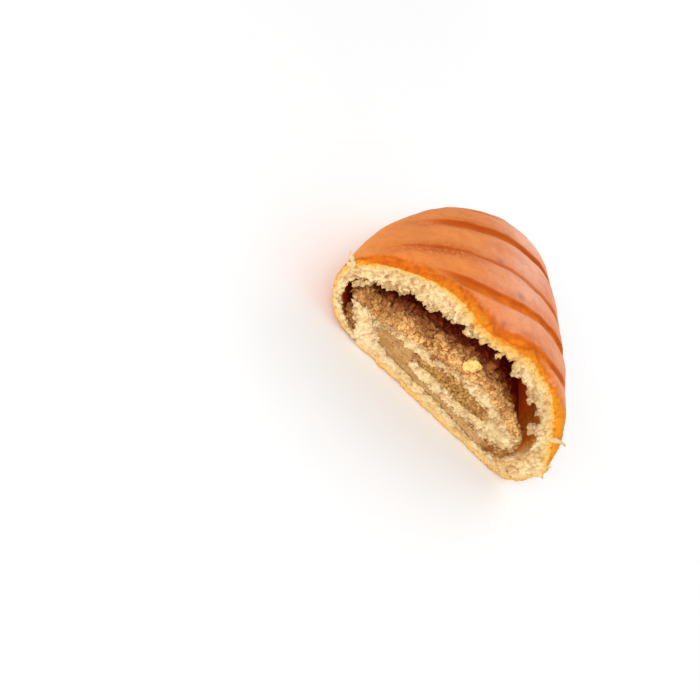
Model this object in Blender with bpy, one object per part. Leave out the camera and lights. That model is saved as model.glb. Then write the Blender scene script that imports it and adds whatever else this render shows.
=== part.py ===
"""Torn half of a walnut strudel: a flattened roll of browned dough round a spiral of ground walnut.

Units are metres with +Z up. The torn face looks along -Y, the rounded browned end lies at +Y and the flat
base stands on Z = 0, with the origin under the middle of the base. The shapes are worked out from the tear
backwards, so that Y = 0 is the torn face, and are then moved forward by half the length.

The roll is one sheet of dough wound about two turns. It starts at a seam under the left side, runs up the
left wall, over the top, down the right wall and back along the base, turns up beside its own start, and ends
as a thin tongue in the middle. The winding space between the turns holds the walnut filling, and an air
pocket has opened between the filling and the top of the crust.
"""

import math

import bmesh
import bpy
import numpy as np
from mathutils import Vector, noise

MM = 0.001

# Outside of the loaf
HALF_WIDTH = 46.2 * MM
HEIGHT = 41.6 * MM
LENGTH = 74.4 * MM
CROWN_X = 3.0 * MM           # the highest line lies a little right of the middle
LEFT_Z = 17.0 * MM           # height of the widest point on each side
RIGHT_Z = 9.5 * MM
BASE_LEFT = -23.0 * MM       # the flat of the base runs between these two
BASE_RIGHT = 30.0 * MM
SIDE_ROUNDNESS = {"upper_left": 2.0, "upper_right": 1.88, "lower_right": 3.0, "lower_left": 2.15}
PLAN_ROUNDNESS = 1.85        # how the width closes towards the far end
PLAN_TAPER = 0.107
CROWN_ROUNDNESS = 3.25       # how the height closes towards the far end
END_TIP_Z = 8.0 * MM         # the far end closes at this height
BASE_LIFT_FROM = 0.80        # share of the length after which the base lifts off the floor
TEAR_LEAN = 0.039            # the torn face leans back by this slope
SEAM_X = -27.2 * MM          # the tucked edge shows as a notch under the base
SEAM_DEPTH = 1.5 * MM
SEAM_HALF = 1.7 * MM

# Crust: rim at the tear, scores and lobes between them
RIM_ROLL = 2.4 * MM          # the crust turns in by this much where it is torn
RIM_REACH = 2.6 * MM
SCORES = (                   # where each score crosses the middle, its slope and its bow
    (3.0 * MM, 0.20, 0.0),
    (12.6 * MM, 0.40, 1.0),
    (26.2 * MM, 0.26, 5.5),
    (43.3 * MM, 0.24, 8.5),
    (57.5 * MM, 0.20, 10.0),
)
SCORE_DEPTH = 2.0 * MM
SCORE_BACK = 2.2 * MM        # steep side, towards the far end
SCORE_FRONT = 6.0 * MM       # gentle side, towards the tear
SCORE_ENDS = (-44.0 * MM, 30.0 * MM)
SCORE_FADE = 7.0 * MM
RING_DRIFT = 0.26            # over the top the rings of the mesh run along the scores, at this slope
DRIFT_REACH = 16.0 * MM
LOBE_RISE = 0.7 * MM
SAG = {"x": -7.0 * MM, "half": 9.0 * MM, "reach": 9.0 * MM, "depth": 3.6 * MM}

# Faces of the dough sheet on the torn face, as X and Z in millimetres
WRAP_INNER = (               # inside of the outer turn: seam, left, top, right
    (-28.8, 2.5), (-37.0, 6.0), (-42.0, 13.5), (-37.5, 21.0), (-26.5, 26.3), (-12.0, 30.2),
    (4.0, 32.2), (17.0, 31.0), (29.0, 25.5), (36.5, 17.0), (38.0, 11.5), (35.0, 5.2),
)
SLOT_FLOOR = (               # top of the base layer, from right to the fold at the left
    (35.0, 5.2), (26.0, 3.7), (8.0, 4.9), (-14.0, 5.4), (-22.5, 6.7), (-26.3, 9.9),
)
FOLD_LINING = (              # underside of the inner top layer, round the fold, top of the tongue
    (-26.3, 9.9), (-22.0, 11.7), (-9.0, 12.4), (3.5, 15.7), (12.0, 14.8), (16.8, 14.6),
    (18.5, 12.6), (11.0, 10.4), (-2.0, 11.0), (-9.0, 10.7), (-10.9, 9.2),
)
ROLL_OUTER = (               # outside of the inner roll, then the underside of the tongue
    (-28.8, 2.8), (-32.6, 6.0), (-37.3, 12.0), (-34.5, 13.4), (-27.5, 12.0), (-18.5, 15.8),
    (-5.0, 16.7), (6.0, 19.6), (12.5, 20.5), (22.0, 17.9), (29.8, 15.0), (31.6, 9.6),
    (27.5, 6.9), (16.0, 6.7), (2.0, 6.7), (-8.6, 7.3), (-10.9, 9.2),
)
POCKET_DEPTH = 57.0 * MM     # the winding space ends here
SPACE_FRONT = -3.0 * MM

# Filling
CLEARANCE = 0.35 * MM        # between filling and dough
FILLING_TOP = (              # surface of the walnut layer under the air pocket
    (-38.6, 10.0), (-38.4, 14.6), (-31.0, 16.6), (-20.0, 19.3), (-8.0, 20.8), (3.0, 22.8),
    (12.0, 23.0), (21.0, 21.0), (29.0, 18.2), (33.6, 14.0), (34.6, 9.6), (33.6, 6.0),
)
POCKET_START = 2             # first point of ROLL_OUTER that the filling covers
FILLING_BACK = 55.5 * MM
FILLING_RECESS = 1.6 * MM
FILLING_RISE = 1.0 * MM      # the layer stands this much higher some way in
RISE_REACH = 10.0 * MM
GRAIN_WAVE = ((2.6 * MM, 1.1 * MM), (9.0 * MM, 0.7 * MM))
NUGGETS = (                  # X, Y, Z and size of the largest walnut pieces, in millimetres
    (2.0, 3.4, 21.6, 5.0), (-6.0, 5.5, 21.4, 3.2), (9.0, 4.6, 23.6, 3.4),
    (17.5, 5.2, 22.6, 3.2), (-17.5, 4.6, 19.8, 3.0), (26.0, 4.4, 19.6, 3.2),
)
NUGGET_DETAIL = 2

# Unevenness
CRUST_WAVE = ((16.0 * MM, 0.45 * MM), (6.5 * MM, 0.2 * MM))
TORN_WAVE = ((7.0 * MM, 0.55 * MM), (3.0 * MM, 0.45 * MM))
ROOF_WAVE = ((5.0 * MM, 0.5 * MM),)

# Mesh density
CRUST_STEP = 2.8 * MM
STATION_STEP = 2.35 * MM
END_STATIONS = 8
TORN_RINGS = 7
SPACE_STEP = 3.2 * MM
SPACE_STATIONS = 7
GRAIN_STEP = 2.1 * MM
FILLING_STATIONS = 17

DOUGH_COLOUR = (0.60, 0.25, 0.08, 1.0)
FILLING_COLOUR = (0.36, 0.19, 0.08, 1.0)


def clear_scene():
    """Take away whatever the scene holds."""
    for obj in list(bpy.data.objects):
        bpy.data.objects.remove(obj, do_unlink=True)


def material(name, colour, roughness):
    """A Principled material of one colour."""
    mat = bpy.data.materials.new(name)
    mat.use_nodes = True
    shader = mat.node_tree.nodes["Principled BSDF"]
    shader.inputs["Base Color"].default_value = colour
    shader.inputs["Roughness"].default_value = roughness
    shader.inputs["Metallic"].default_value = 0.0
    return mat


def waves(points, bands, seed):
    """Sum of noise bands, each a wavelength and an amplitude, at the rows of points."""
    total = np.zeros(len(points))
    for number, (length, height) in enumerate(bands):
        shift = Vector((seed * 7.3, number * 11.7, seed * 3.1))
        total += [height * noise.noise(Vector(p) / length + shift) for p in points]
    return total


def resample(line, step):
    """Points at even spacing along an open line, its ends kept."""
    line = np.asarray(line, float)
    along = np.r_[0.0, np.cumsum(np.hypot(*np.diff(line, axis=0).T))]
    count = max(2, int(round(along[-1] / step)) + 1)
    at = np.linspace(0.0, along[-1], count)
    return np.column_stack([np.interp(at, along, line[:, k]) for k in (0, 1)])


def smooth_line(points, step):
    """Catmull-Rom curve through points given in millimetres, at even spacing."""
    p = np.asarray(points, float) * MM
    p = np.vstack([2 * p[0] - p[1], p, 2 * p[-1] - p[-2]])
    t = np.linspace(0.0, 1.0, 12, endpoint=False)[:, None]
    pieces = []
    for a, b, c, d in zip(p[:-3], p[1:-2], p[2:-1], p[3:]):
        curve = 2 * b + (c - a) * t + (2 * a - 5 * b + 4 * c - d) * t**2 + (3 * b - a - 3 * c + d) * t**3
        pieces.append(0.5 * curve)
    return resample(np.vstack(pieces + [p[-2:-1]]), step)


def quarter(start, end, centre, power, count=40):
    """Quarter of a superellipse from start to end round centre."""
    angle = np.linspace(0.0, math.pi / 2, count)[:, None]
    start, end, centre = (np.array(p) for p in (start, end, centre))
    share = 2.0 / power
    from_start = np.cos(angle).clip(0)**share
    from_end = np.sin(angle).clip(0)**share
    return centre + (start - centre) * from_start + (end - centre) * from_end


def loaf_outline():
    """Closed outline of the loaf at the tear: up the left side, over the top, back along the base."""
    left, right = (-HALF_WIDTH, LEFT_Z), (HALF_WIDTH, RIGHT_Z)
    crown = (CROWN_X, HEIGHT)
    low_left, low_right = (BASE_LEFT, 0.0), (BASE_RIGHT, 0.0)
    rounds = SIDE_ROUNDNESS
    lower_left = quarter(low_left, left, (BASE_LEFT, LEFT_Z), rounds["lower_left"])
    lower_left = lower_left[lower_left[:, 0] < SEAM_X - SEAM_HALF]
    over = np.vstack([
        lower_left,
        quarter(left, crown, (CROWN_X, LEFT_Z), rounds["upper_left"])[1:],
        quarter(crown, right, (CROWN_X, RIGHT_Z), rounds["upper_right"])[1:],
        quarter(right, low_right, (BASE_RIGHT, RIGHT_Z), rounds["lower_right"])[1:],
    ])
    base = np.array([low_right, low_left])
    seam = np.array([(SEAM_X + SEAM_HALF, 0.15 * MM), (SEAM_X + 0.5 * SEAM_HALF, SEAM_DEPTH)])
    return np.vstack([resample(over, CRUST_STEP), resample(base, 2 * CRUST_STEP)[1:], seam])


def narrowing(y):
    """Share of the full width left at depth y."""
    v = np.clip(y / LENGTH, 0.0, 1.0)
    return (1 - v**PLAN_ROUNDNESS)**(1 / PLAN_ROUNDNESS) * (1 - PLAN_TAPER * v)


def place(section, y):
    """Carry section points (X, Z on the torn face) to depth y, closing on the far end's tip."""
    v = np.clip(y / LENGTH, 0.0, 1.0)
    x = section[:, 0] * narrowing(y)
    above = section[:, 1] - END_TIP_Z
    crown = (1 - v**CROWN_ROUNDNESS)**(1 / CROWN_ROUNDNESS)
    late = np.clip((v - BASE_LIFT_FROM) / (1 - BASE_LIFT_FROM), 0.0, 1.0)
    lift = np.sqrt(1 - late**2)
    z = END_TIP_Z + above * np.where(above > 0, crown, lift)
    depth = y + (1 - v) * TEAR_LEAN * z
    return np.column_stack([x, depth, z])


def outward(ring):
    """Unit normals in the X-Z plane of a closed ring that runs clockwise seen from the tear."""
    along = np.roll(ring, -1, 0) - np.roll(ring, 1, 0)
    normal = np.column_stack([-along[:, 2], np.zeros(len(ring)), along[:, 0]])
    return normal / np.linalg.norm(normal, axis=1)[:, None].clip(1e-9)


def smoothstep(value):
    value = np.clip(value, 0.0, 1.0)
    return value * value * (3 - 2 * value)


def score_line(score, x):
    """Depth y of a score where it crosses x: a straight slope with a bow that grows with x squared."""
    middle, slope, bow = score
    return middle + slope * x - bow * x * x


def crust_relief(points):
    """Height to add along the normal: scores sink in, the lobes between them bulge."""
    x, y, z = points.T
    wide = x / narrowing(y).clip(0.2)
    top = smoothstep((z - 0.45 * HEIGHT * narrowing(y)) / (8 * MM))
    low, high = SCORE_ENDS
    span = smoothstep((wide - low) / SCORE_FADE) * smoothstep((high - wide) / SCORE_FADE) * top
    height = np.zeros(len(points))
    lines = [score_line(score, x) for score in SCORES]
    for line in lines:
        behind = y - line
        cut = np.where(behind > 0, np.exp(-(behind / SCORE_BACK)**2), smoothstep(1 + behind / SCORE_FRONT))
        height -= SCORE_DEPTH * cut * span
    for near, far in zip(lines, lines[1:]):
        share = np.clip((y - near) / (far - near).clip(MM), 0.0, 1.0)
        height += LOBE_RISE * np.sin(math.pi * share) * span
    return height


def crust_ring(section, y):
    """One ring of the crust at depth y, drifting along the scores, with rim, sag, scores and unevenness."""
    top = smoothstep((section[:, 1] - 12 * MM) / (12 * MM))
    window = (1 - math.exp(-y / DRIFT_REACH)) * smoothstep((LENGTH - y) / DRIFT_REACH)
    drift = RING_DRIFT * window * top * section[:, 0] * narrowing(y)
    ring = place(section, y + drift)
    normal = outward(ring)
    rise = crust_relief(ring) + waves(ring, CRUST_WAVE, 1)
    inward = 1 - math.sqrt(max(0.0, 1 - max(0.0, 1 - y / RIM_REACH)**2))
    rise -= RIM_ROLL * inward
    fade = smoothstep((ring[:, 2] - 1.5 * MM) / (5 * MM)) * smoothstep((1 - y / LENGTH) / 0.12)
    ring += normal * (rise * fade)[:, None]
    aside, along = (ring[:, 0] - SAG["x"]) / SAG["half"], ring[:, 1] / SAG["reach"]
    sag = SAG["depth"] * np.exp(-aside**2 - along**2)
    ring[:, 2] -= sag * smoothstep((ring[:, 2] - 20 * MM) / (12 * MM))
    return ring


def stations():
    """Depths of the rings: rim, even steps, then closing steps to the far end."""
    rim = [0.0, 0.35 * RIM_REACH, RIM_REACH]
    even_end = BASE_LIFT_FROM * LENGTH
    even = np.linspace(RIM_REACH, even_end, int((even_end - RIM_REACH) / STATION_STEP) + 1)[1:]
    start = math.asin(BASE_LIFT_FROM)
    closing = LENGTH * np.sin(np.linspace(start, math.radians(85.5), END_STATIONS + 1)[1:])
    return np.r_[rim, even, closing]


def mesh_object(name, vertices, faces, mat):
    """Closed mesh object with outward faces."""
    mesh = bpy.data.meshes.new(name)
    mesh.from_pydata([tuple(v) for v in vertices], [], faces)
    mesh.materials.append(mat)
    tidy = bmesh.new()
    tidy.from_mesh(mesh)
    bmesh.ops.recalc_face_normals(tidy, faces=tidy.faces)
    tidy.to_mesh(mesh)
    tidy.free()
    obj = bpy.data.objects.new(name, mesh)
    bpy.context.scene.collection.objects.link(obj)
    return obj


def wall_faces(rings, width):
    """Quads between successive closed rings of the same width."""
    faces = []
    for r in range(rings - 1):
        for k in range(width):
            n = (k + 1) % width
            faces.append((r * width + k, r * width + n, (r + 1) * width + n, (r + 1) * width + k))
    return faces


def make_loaf(mat):
    """Solid loaf: rings from the tear to a point at the far end, and a rough torn face of shrinking rings."""
    section = loaf_outline()
    width = len(section)
    rings = [crust_ring(section, y) for y in stations()]
    heart = np.array([0.0, 0.0, 0.4 * HEIGHT])
    rim = rings[0].copy()
    rim[-2:, 2] = 0.0
    torn = []
    for k in range(TORN_RINGS, 0, -1):
        share = k / (TORN_RINGS + 1)
        ring = heart + (rim - heart) * share
        ring[:, 1] = TEAR_LEAN * ring[:, 2] + waves(ring * (1, 0, 1), TORN_WAVE, 2)
        torn.append(ring)
    everything = torn[::-1] + rings
    vertices = np.vstack(everything)
    faces = wall_faces(len(everything), width)
    middle, tip = len(vertices), len(vertices) + 1
    ends = np.array([[0.0, TEAR_LEAN * heart[2], heart[2]], [0.0, LENGTH, END_TIP_Z]])
    last = (len(everything) - 1) * width
    for k in range(width):
        n = (k + 1) % width
        faces.append((middle, n, k))
        faces.append((last + k, last + n, tip))
    return mesh_object("dough", np.vstack([vertices, ends]), faces, mat)


def inset(line, distance):
    """Closed line moved to its inside by distance, with short mitres at its corners."""
    before = line - np.roll(line, 1, 0)
    after = np.roll(line, -1, 0) - line
    before /= np.linalg.norm(before, axis=1)[:, None].clip(1e-9)
    after /= np.linalg.norm(after, axis=1)[:, None].clip(1e-9)
    area = np.sum(line[:, 0] * np.roll(line[:, 1], -1) - np.roll(line[:, 0], -1) * line[:, 1])
    turn = 1.0 if area > 0 else -1.0
    a = np.column_stack([-before[:, 1], before[:, 0]]) * turn
    b = np.column_stack([-after[:, 1], after[:, 0]]) * turn
    middle = a + b
    middle /= np.linalg.norm(middle, axis=1)[:, None].clip(1e-9)
    reach = distance / np.sum(middle * a, axis=1).clip(0.45)
    return line + middle * reach[:, None]


def chain(*lines):
    """One closed line from open ones that follow each other, shared ends kept once."""
    return np.vstack([line[:-1] for line in lines])


def end_cap(width, ring, flip):
    """Single face over a ring of a loft."""
    cap = [ring * width + k for k in range(width)]
    return tuple(cap[::-1] if flip else cap)


def loft(name, sections, depths, mat):
    """Closed body through sections at their depths, with a face over each end."""
    width = len(sections[0])
    vertices = np.vstack([place(s, y) for s, y in zip(sections, depths)])
    faces = wall_faces(len(sections), width)
    faces += [end_cap(width, 0, True), end_cap(width, len(sections) - 1, False)]
    return mesh_object(name, vertices, faces, mat)


def make_winding_space(mat):
    """The space between the turns of dough, open at the tear, as a cutter."""
    roof = smooth_line(WRAP_INNER, SPACE_STEP)
    rest = [smooth_line(points, SPACE_STEP) for points in (SLOT_FLOOR, FOLD_LINING, ROLL_OUTER[::-1])]
    section = chain(roof, *rest, np.array([rest[-1][-1], roof[0]]))
    depths = np.r_[SPACE_FRONT, np.linspace(0.0, POCKET_DEPTH, SPACE_STATIONS)]
    sections = []
    for y in depths:
        rough = section.copy()
        high = smoothstep((section[:, 1] - 22 * MM) / (4 * MM))
        spots = np.column_stack([section[:, 0], np.full(len(section), y), section[:, 1]])
        rough[:, 1] += waves(spots, ROOF_WAVE, 3) * high
        sections.append(rough)
    cutter = loft("winding_space", sections, depths, mat)
    cutter.hide_render = True
    cutter.display_type = "WIRE"
    return cutter


def apply_boolean(obj, operation, other=None, collection=None):
    """Apply one Boolean and take its operands away."""
    step = obj.modifiers.new("join", "BOOLEAN")
    step.solver = "EXACT"
    step.operation = operation
    if collection:
        step.operand_type = "COLLECTION"
        step.collection = collection
    else:
        step.object = other
    bpy.context.view_layer.update()
    mesh = bpy.data.meshes.new_from_object(obj.evaluated_get(bpy.context.evaluated_depsgraph_get()))
    obj.modifiers.clear()
    obj.data = mesh
    for spent in list(collection.objects) if collection else [other]:
        bpy.data.objects.remove(spent, do_unlink=True)


def make_nugget(number, spec, mat):
    """One lumpy piece of walnut: a small ball with noise pushed along its radius."""
    x, y, z, size = (value * MM for value in spec)
    ball = bmesh.new()
    bmesh.ops.create_icosphere(ball, subdivisions=NUGGET_DETAIL, radius=size / 2)
    for vertex in ball.verts:
        lump = noise.noise(vertex.co / (0.45 * size) + Vector((number * 5.0, 0.0, 0.0)))
        vertex.co *= 1 + 0.35 * lump
        vertex.co.z *= 0.8
        vertex.co += Vector((x, y, z))
    mesh = bpy.data.meshes.new(f"nugget_{number}")
    ball.to_mesh(mesh)
    ball.free()
    mesh.materials.append(mat)
    return bpy.data.objects.new(mesh.name, mesh)


def filling_sections():
    """Sections of the filling and their depths: walls set in from the dough, and a bumpy bare top."""
    top = smooth_line(FILLING_TOP, GRAIN_STEP)
    floor = smooth_line(SLOT_FLOOR, SPACE_STEP)
    lining = smooth_line(FOLD_LINING, SPACE_STEP)
    roll = smooth_line(ROLL_OUTER[POCKET_START:][::-1], SPACE_STEP)
    tight = np.vstack([chain(floor, lining, roll, np.array([roll[-1], top[0]])), top])
    section = inset(tight, CLEARANCE)
    section[-len(top):] = top
    from_edge = np.minimum(np.arange(len(top)), np.arange(len(top))[::-1])
    bumpy = smoothstep(from_edge / 3.0)
    rising = smoothstep(from_edge / 12.0)
    share = np.linspace(0.0, 1.0, FILLING_STATIONS)
    depths = FILLING_RECESS + (FILLING_BACK - FILLING_RECESS) * share**1.35
    sections = []
    for y in depths:
        spots = np.column_stack([top[:, 0], np.full(len(top), y), top[:, 1]])
        rise = FILLING_RISE * (1 - math.exp(-(y - FILLING_RECESS) / RISE_REACH))
        layer = section.copy()
        layer[-len(top):, 1] += rise * rising + waves(spots, GRAIN_WAVE, 4) * bumpy
        sections.append(layer)
    return sections, depths


def make_filling(mat):
    """Walnut filling: one spiral band with the largest walnut pieces fused to it."""
    filling = loft("walnut_filling", *filling_sections(), mat)
    nuggets = bpy.data.collections.new("nuggets")
    bpy.context.scene.collection.children.link(nuggets)
    for number, spec in enumerate(NUGGETS):
        nuggets.objects.link(make_nugget(number, spec, mat))
    apply_boolean(filling, "UNION", collection=nuggets)
    bpy.data.collections.remove(nuggets)
    return filling


def shade(obj):
    """Smooth shading with the torn and folded edges kept sharp."""
    obj.data.shade_smooth()
    obj.data.set_sharp_from_angle(angle=math.radians(50))


def main():
    clear_scene()
    dough_material = material("dough", DOUGH_COLOUR, 0.45)
    filling_material = material("walnut_filling", FILLING_COLOUR, 0.85)
    dough = make_loaf(dough_material)
    apply_boolean(dough, "DIFFERENCE", other=make_winding_space(dough_material))
    filling = make_filling(filling_material)
    for obj in (dough, filling):
        shade(obj)
        obj.location.y = -LENGTH / 2


main()
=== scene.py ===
"""Looks of a torn half of a walnut strudel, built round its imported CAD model.

Lengths in the constants are millimetres. Shapes are worked out from the tear backwards, so that y = 0 is the
torn face and +y runs to the browned far end, and are then moved forward by half the length, as the CAD is.
"""

import math
from typing import NamedTuple

import bmesh
import bpy
import numpy as np
from mathutils import Matrix, Vector
from mathutils.geometry import tessellate_polygon


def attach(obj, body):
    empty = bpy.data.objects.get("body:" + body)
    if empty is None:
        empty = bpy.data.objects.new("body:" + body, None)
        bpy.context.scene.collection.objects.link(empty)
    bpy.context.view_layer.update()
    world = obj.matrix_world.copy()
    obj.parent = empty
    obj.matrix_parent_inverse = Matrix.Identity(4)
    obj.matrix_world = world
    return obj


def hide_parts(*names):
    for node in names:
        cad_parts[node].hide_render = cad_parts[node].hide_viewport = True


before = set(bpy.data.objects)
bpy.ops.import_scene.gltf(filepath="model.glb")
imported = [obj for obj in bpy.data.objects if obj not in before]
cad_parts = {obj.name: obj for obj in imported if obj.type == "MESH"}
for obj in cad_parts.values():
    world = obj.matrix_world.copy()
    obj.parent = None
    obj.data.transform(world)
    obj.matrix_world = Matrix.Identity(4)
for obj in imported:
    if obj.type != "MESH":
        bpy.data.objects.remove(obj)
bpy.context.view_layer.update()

bl_info = {
    "name": "Walnut strudel",
    "version": (1, 0, 0),
    "blender": (4, 5, 0),
    "location": "3D View > Sidebar > Strudel",
    "description": "Torn half of a walnut strudel: browned dough, crumb and ground-walnut filling",
    "category": "Add Mesh",
}

MM = 0.001

# Outside of the loaf, as in the CAD
HALF_WIDTH, HEIGHT, LENGTH = 46.2, 41.6, 74.4
CROWN_X, LEFT_Z, RIGHT_Z = 3.0, 17.0, 9.5
BASE_LEFT, BASE_RIGHT = -23.0, 30.0
SIDE_ROUNDNESS = (2.15, 2.0, 1.88, 3.0)         # lower left, upper left, upper right, lower right
PLAN_ROUNDNESS, PLAN_TAPER = 1.85, 0.107
CROWN_ROUNDNESS, END_TIP_Z, BASE_LIFT_FROM = 3.25, 8.0, 0.80
TEAR_LEAN = 0.039
SEAM_X, SEAM_DEPTH, SEAM_HALF = -27.2, 1.5, 1.7
RIM_ROLL, RIM_REACH = 2.4, 2.6
SAG_X, SAG_HALF, SAG_REACH, SAG_DEPTH = -7.0, 9.0, 9.0, 3.6

# Faces of the dough sheet on the torn face, as X and Z
WRAP_INNER = (
    (-28.8, 2.65), (-37.0, 6.0), (-42.0, 13.5), (-37.5, 21.0), (-26.5, 26.3), (-12.0, 30.2),
    (4.0, 32.2), (17.0, 31.0), (29.0, 25.5), (36.5, 17.0), (38.0, 11.5), (35.0, 5.2),
)
SLOT_FLOOR = (
    (35.0, 5.2), (26.0, 3.7), (8.0, 4.9), (-14.0, 5.4), (-22.5, 6.7), (-26.3, 9.9),
)
FOLD_LINING = (
    (-26.3, 9.9), (-22.0, 11.7), (-9.0, 12.4), (3.5, 15.7), (12.0, 14.8), (16.8, 14.6),
    (18.5, 12.6), (11.0, 10.4), (-2.0, 11.0), (-9.0, 10.7), (-10.9, 9.2),
)
ROLL_OUTER = (
    (-28.8, 2.65), (-32.6, 6.0), (-37.3, 12.0), (-34.5, 13.4), (-27.5, 12.0), (-18.5, 15.8),
    (-5.0, 16.7), (6.0, 19.6), (12.5, 20.5), (22.0, 17.9), (29.8, 15.0), (31.6, 9.6),
    (27.5, 6.9), (16.0, 6.7), (2.0, 6.7), (-8.6, 7.3), (-10.9, 9.2),
)
POCKET_DEPTH = 57.0


# --- lines ----------------------------------------------------------------------------------------------

LINE_STEP = 0.3                                 # between points of the lines drawn on the torn face
PAIR_STEP, PAIR_EASE, PAIR_PULL, PAIR_ROUNDS = 0.25, 4.0, 0.05, 4


def smoothstep(value):
    value = np.clip(value, 0.0, 1.0)
    return value * value * (3 - 2 * value)


def ease(value, low, high):
    """0 at low and 1 at high, eased between. High may be the smaller."""
    return smoothstep((value - low) / (high - low))


def bell(value, middle, half):
    """1 at the middle, falling away on both sides as a normal curve."""
    return np.exp(-((value - middle) / half)**2)


def soft_max(a, b, width):
    """The larger of a and b, with the corner between them rounded over width."""
    return 0.5 * (a + b + np.sqrt((a - b)**2 + width**2))


def lengths_along(line):
    return np.r_[0.0, np.cumsum(np.linalg.norm(np.diff(line, axis=0), axis=1))]


def at_lengths(line, lengths):
    """Points of an open line at the given lengths along it."""
    along = lengths_along(line)
    return np.column_stack([np.interp(lengths, along, line[:, k]) for k in range(line.shape[1])])


def resample(line, step):
    """Points at even spacing along an open line, its ends kept."""
    line = np.asarray(line, float)
    total = lengths_along(line)[-1]
    return at_lengths(line, np.linspace(0.0, total, max(2, int(round(total / step)) + 1)))


def smooth_line(points, step=LINE_STEP):
    """Catmull-Rom curve through the points, at even spacing."""
    p = np.asarray(points, float)
    p = np.vstack([2 * p[0] - p[1], p, 2 * p[-1] - p[-2]])
    t = np.linspace(0.0, 1.0, 24, endpoint=False)[:, None]
    pieces = [
        0.5 * (2 * b + (c - a) * t + (2 * a - 5 * b + 4 * c - d) * t**2 + (3 * b - a - 3 * c + d) * t**3)
        for a, b, c, d in zip(p[:-3], p[1:-2], p[2:-1], p[3:])
    ]
    return resample(np.vstack(pieces + [p[-2:-1]]), step)


def push_2d(line):
    """Unit vectors square to a closed line of X and Z, to the left of its run."""
    along = np.roll(line, -1, 0) - np.roll(line, 1, 0)
    normal = np.column_stack([-along[:, 1], along[:, 0]])
    return normal / np.linalg.norm(normal, axis=1)[:, None].clip(1e-9)


def never_back(lengths):
    """The same lengths without a step back: halfway between the highest so far and the lowest to come."""
    return (np.maximum.accumulate(lengths) + np.minimum.accumulate(lengths[::-1])[::-1]) / 2


def facing(first, second):
    """Lengths along two lines at which they lie opposite, in even steps of their sum. Each point of
    either line is paired with the nearest of the other, where a pair far from the guess counts as further
    apart. How far one length leads the other, averaged over a short stretch and brought to its true ends,
    is the next guess."""
    a, b = lengths_along(first), lengths_along(second)
    apart = np.sum((first[:, None] - second[None])**2, axis=-1)
    both, lead = a[:, None] + b, a[:, None] - b
    at = np.arange(0.0, both[-1, -1], PAIR_STEP)
    guess = at / at[-1] * lead[-1, -1]
    reach = 2 * int(PAIR_EASE / PAIR_STEP)
    window = np.hanning(2 * reach + 3)[1:-1] / (reach + 1)
    for _ in range(PAIR_ROUNDS):
        cost = apart + PAIR_PULL * (lead - np.interp(both, at, guess))**2
        i = np.r_[np.arange(len(a)), cost.argmin(axis=0), 0, len(a) - 1]
        j = np.r_[cost.argmin(axis=1), np.arange(len(b)), 0, len(b) - 1]
        order = np.argsort(both[i, j], kind="stable")
        on_first, on_second = never_back(a[i[order]]), never_back(b[j[order]])
        level = np.interp(at, on_first + on_second, on_first - on_second)
        before, after = 2 * level[0] - level[reach:0:-1], 2 * level[-1] - level[-2:-reach - 2:-1]
        guess = np.convolve(np.r_[before, level, after], window, "valid")
        guess -= guess[0] * np.exp(-at / PAIR_EASE)
        guess += (lead[-1, -1] - guess[-1]) * np.exp((at - at[-1]) / PAIR_EASE)
    return (at + guess) / 2, (at - guess) / 2


# --- noise, worked out for whole arrays of points -------------------------------------------------------

SLOPES = np.array([
    (1, 1, 0), (-1, 1, 0), (1, -1, 0), (-1, -1, 0), (1, 0, 1), (-1, 0, 1),
    (1, 0, -1), (-1, 0, -1), (0, 1, 1), (0, -1, 1), (0, 1, -1), (0, -1, -1),
], float)
BAND_SHIFT = 31.7                               # each band of noise is moved this much on from the one before


def cell_number(cell, seed):
    """A well mixed whole number for each cell of a grid, the same on every run."""
    i, j, k = (cell[:, n].astype(np.int64).astype(np.uint32) for n in range(3))
    h = i * np.uint32(0x8DA6B343) ^ j * np.uint32(0xD8163841) ^ k * np.uint32(0xCB1AB31F)
    h ^= np.uint32(seed * 7919 + 17)
    h ^= h >> np.uint32(15)
    h *= np.uint32(0x2C1B3C6D)
    h ^= h >> np.uint32(12)
    h *= np.uint32(0x297A2D39)
    return h ^ (h >> np.uint32(15))


def wave(points, seed):
    """Gradient noise, about -1 to 1: each corner of the unit cell round a point has a slope of its own,
    and the heights they give at the point are blended with a fifth-degree ease."""
    cell = np.floor(points).astype(np.int64)
    part = points - cell
    share = part**3 * (part * (part * 6 - 15) + 10)
    total = np.zeros(len(points))
    for corner in np.ndindex(2, 2, 2):
        slope = SLOPES[cell_number(cell + corner, seed) % 12]
        weight = np.prod(np.where(corner, share, 1 - share), axis=1)
        total += weight * np.sum(slope * (part - corner), axis=1)
    return total


def waves(points, bands, seed):
    """Sum of noise bands, each a wavelength and a height."""
    total = 0.0
    for number, (length, height) in enumerate(bands):
        total = total + height * wave(points / length + BAND_SHIFT * (number + 1), seed + number)
    return total


def nearest_seeds(points, seed):
    """Cell noise: one seed point is scattered in each unit cell, and the distance to the nearest of them
    is given, with the number of its cell."""
    cell = np.floor(points).astype(np.int64)
    first = np.full(len(points), 9.0)
    owner = np.zeros(len(points), np.uint32)
    for corner in np.ndindex(3, 3, 3):
        near = cell + np.array(corner) - 1
        number = cell_number(near, seed)
        parts = [(number >> np.uint32(shift) & np.uint32(1023)) / 1023.0 for shift in (0, 10, 20)]
        away = np.linalg.norm(points - (near + np.stack(parts, axis=1)), axis=1)
        owner = np.where(away < first, number, owner)
        first = np.minimum(first, away)
    return first, owner


# --- mesh -----------------------------------------------------------------------------------------------


def grid_quads(index, closed=False):
    """Quads between neighbouring rows of an array of vertex numbers, its last column joined to the first
    when closed."""
    if closed:
        index = np.column_stack([index, index[:, 0]])
    corners = [index[:-1, :-1], index[:-1, 1:], index[1:, 1:], index[1:, :-1]]
    return np.stack(corners, axis=-1).reshape(-1, 4)


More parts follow.
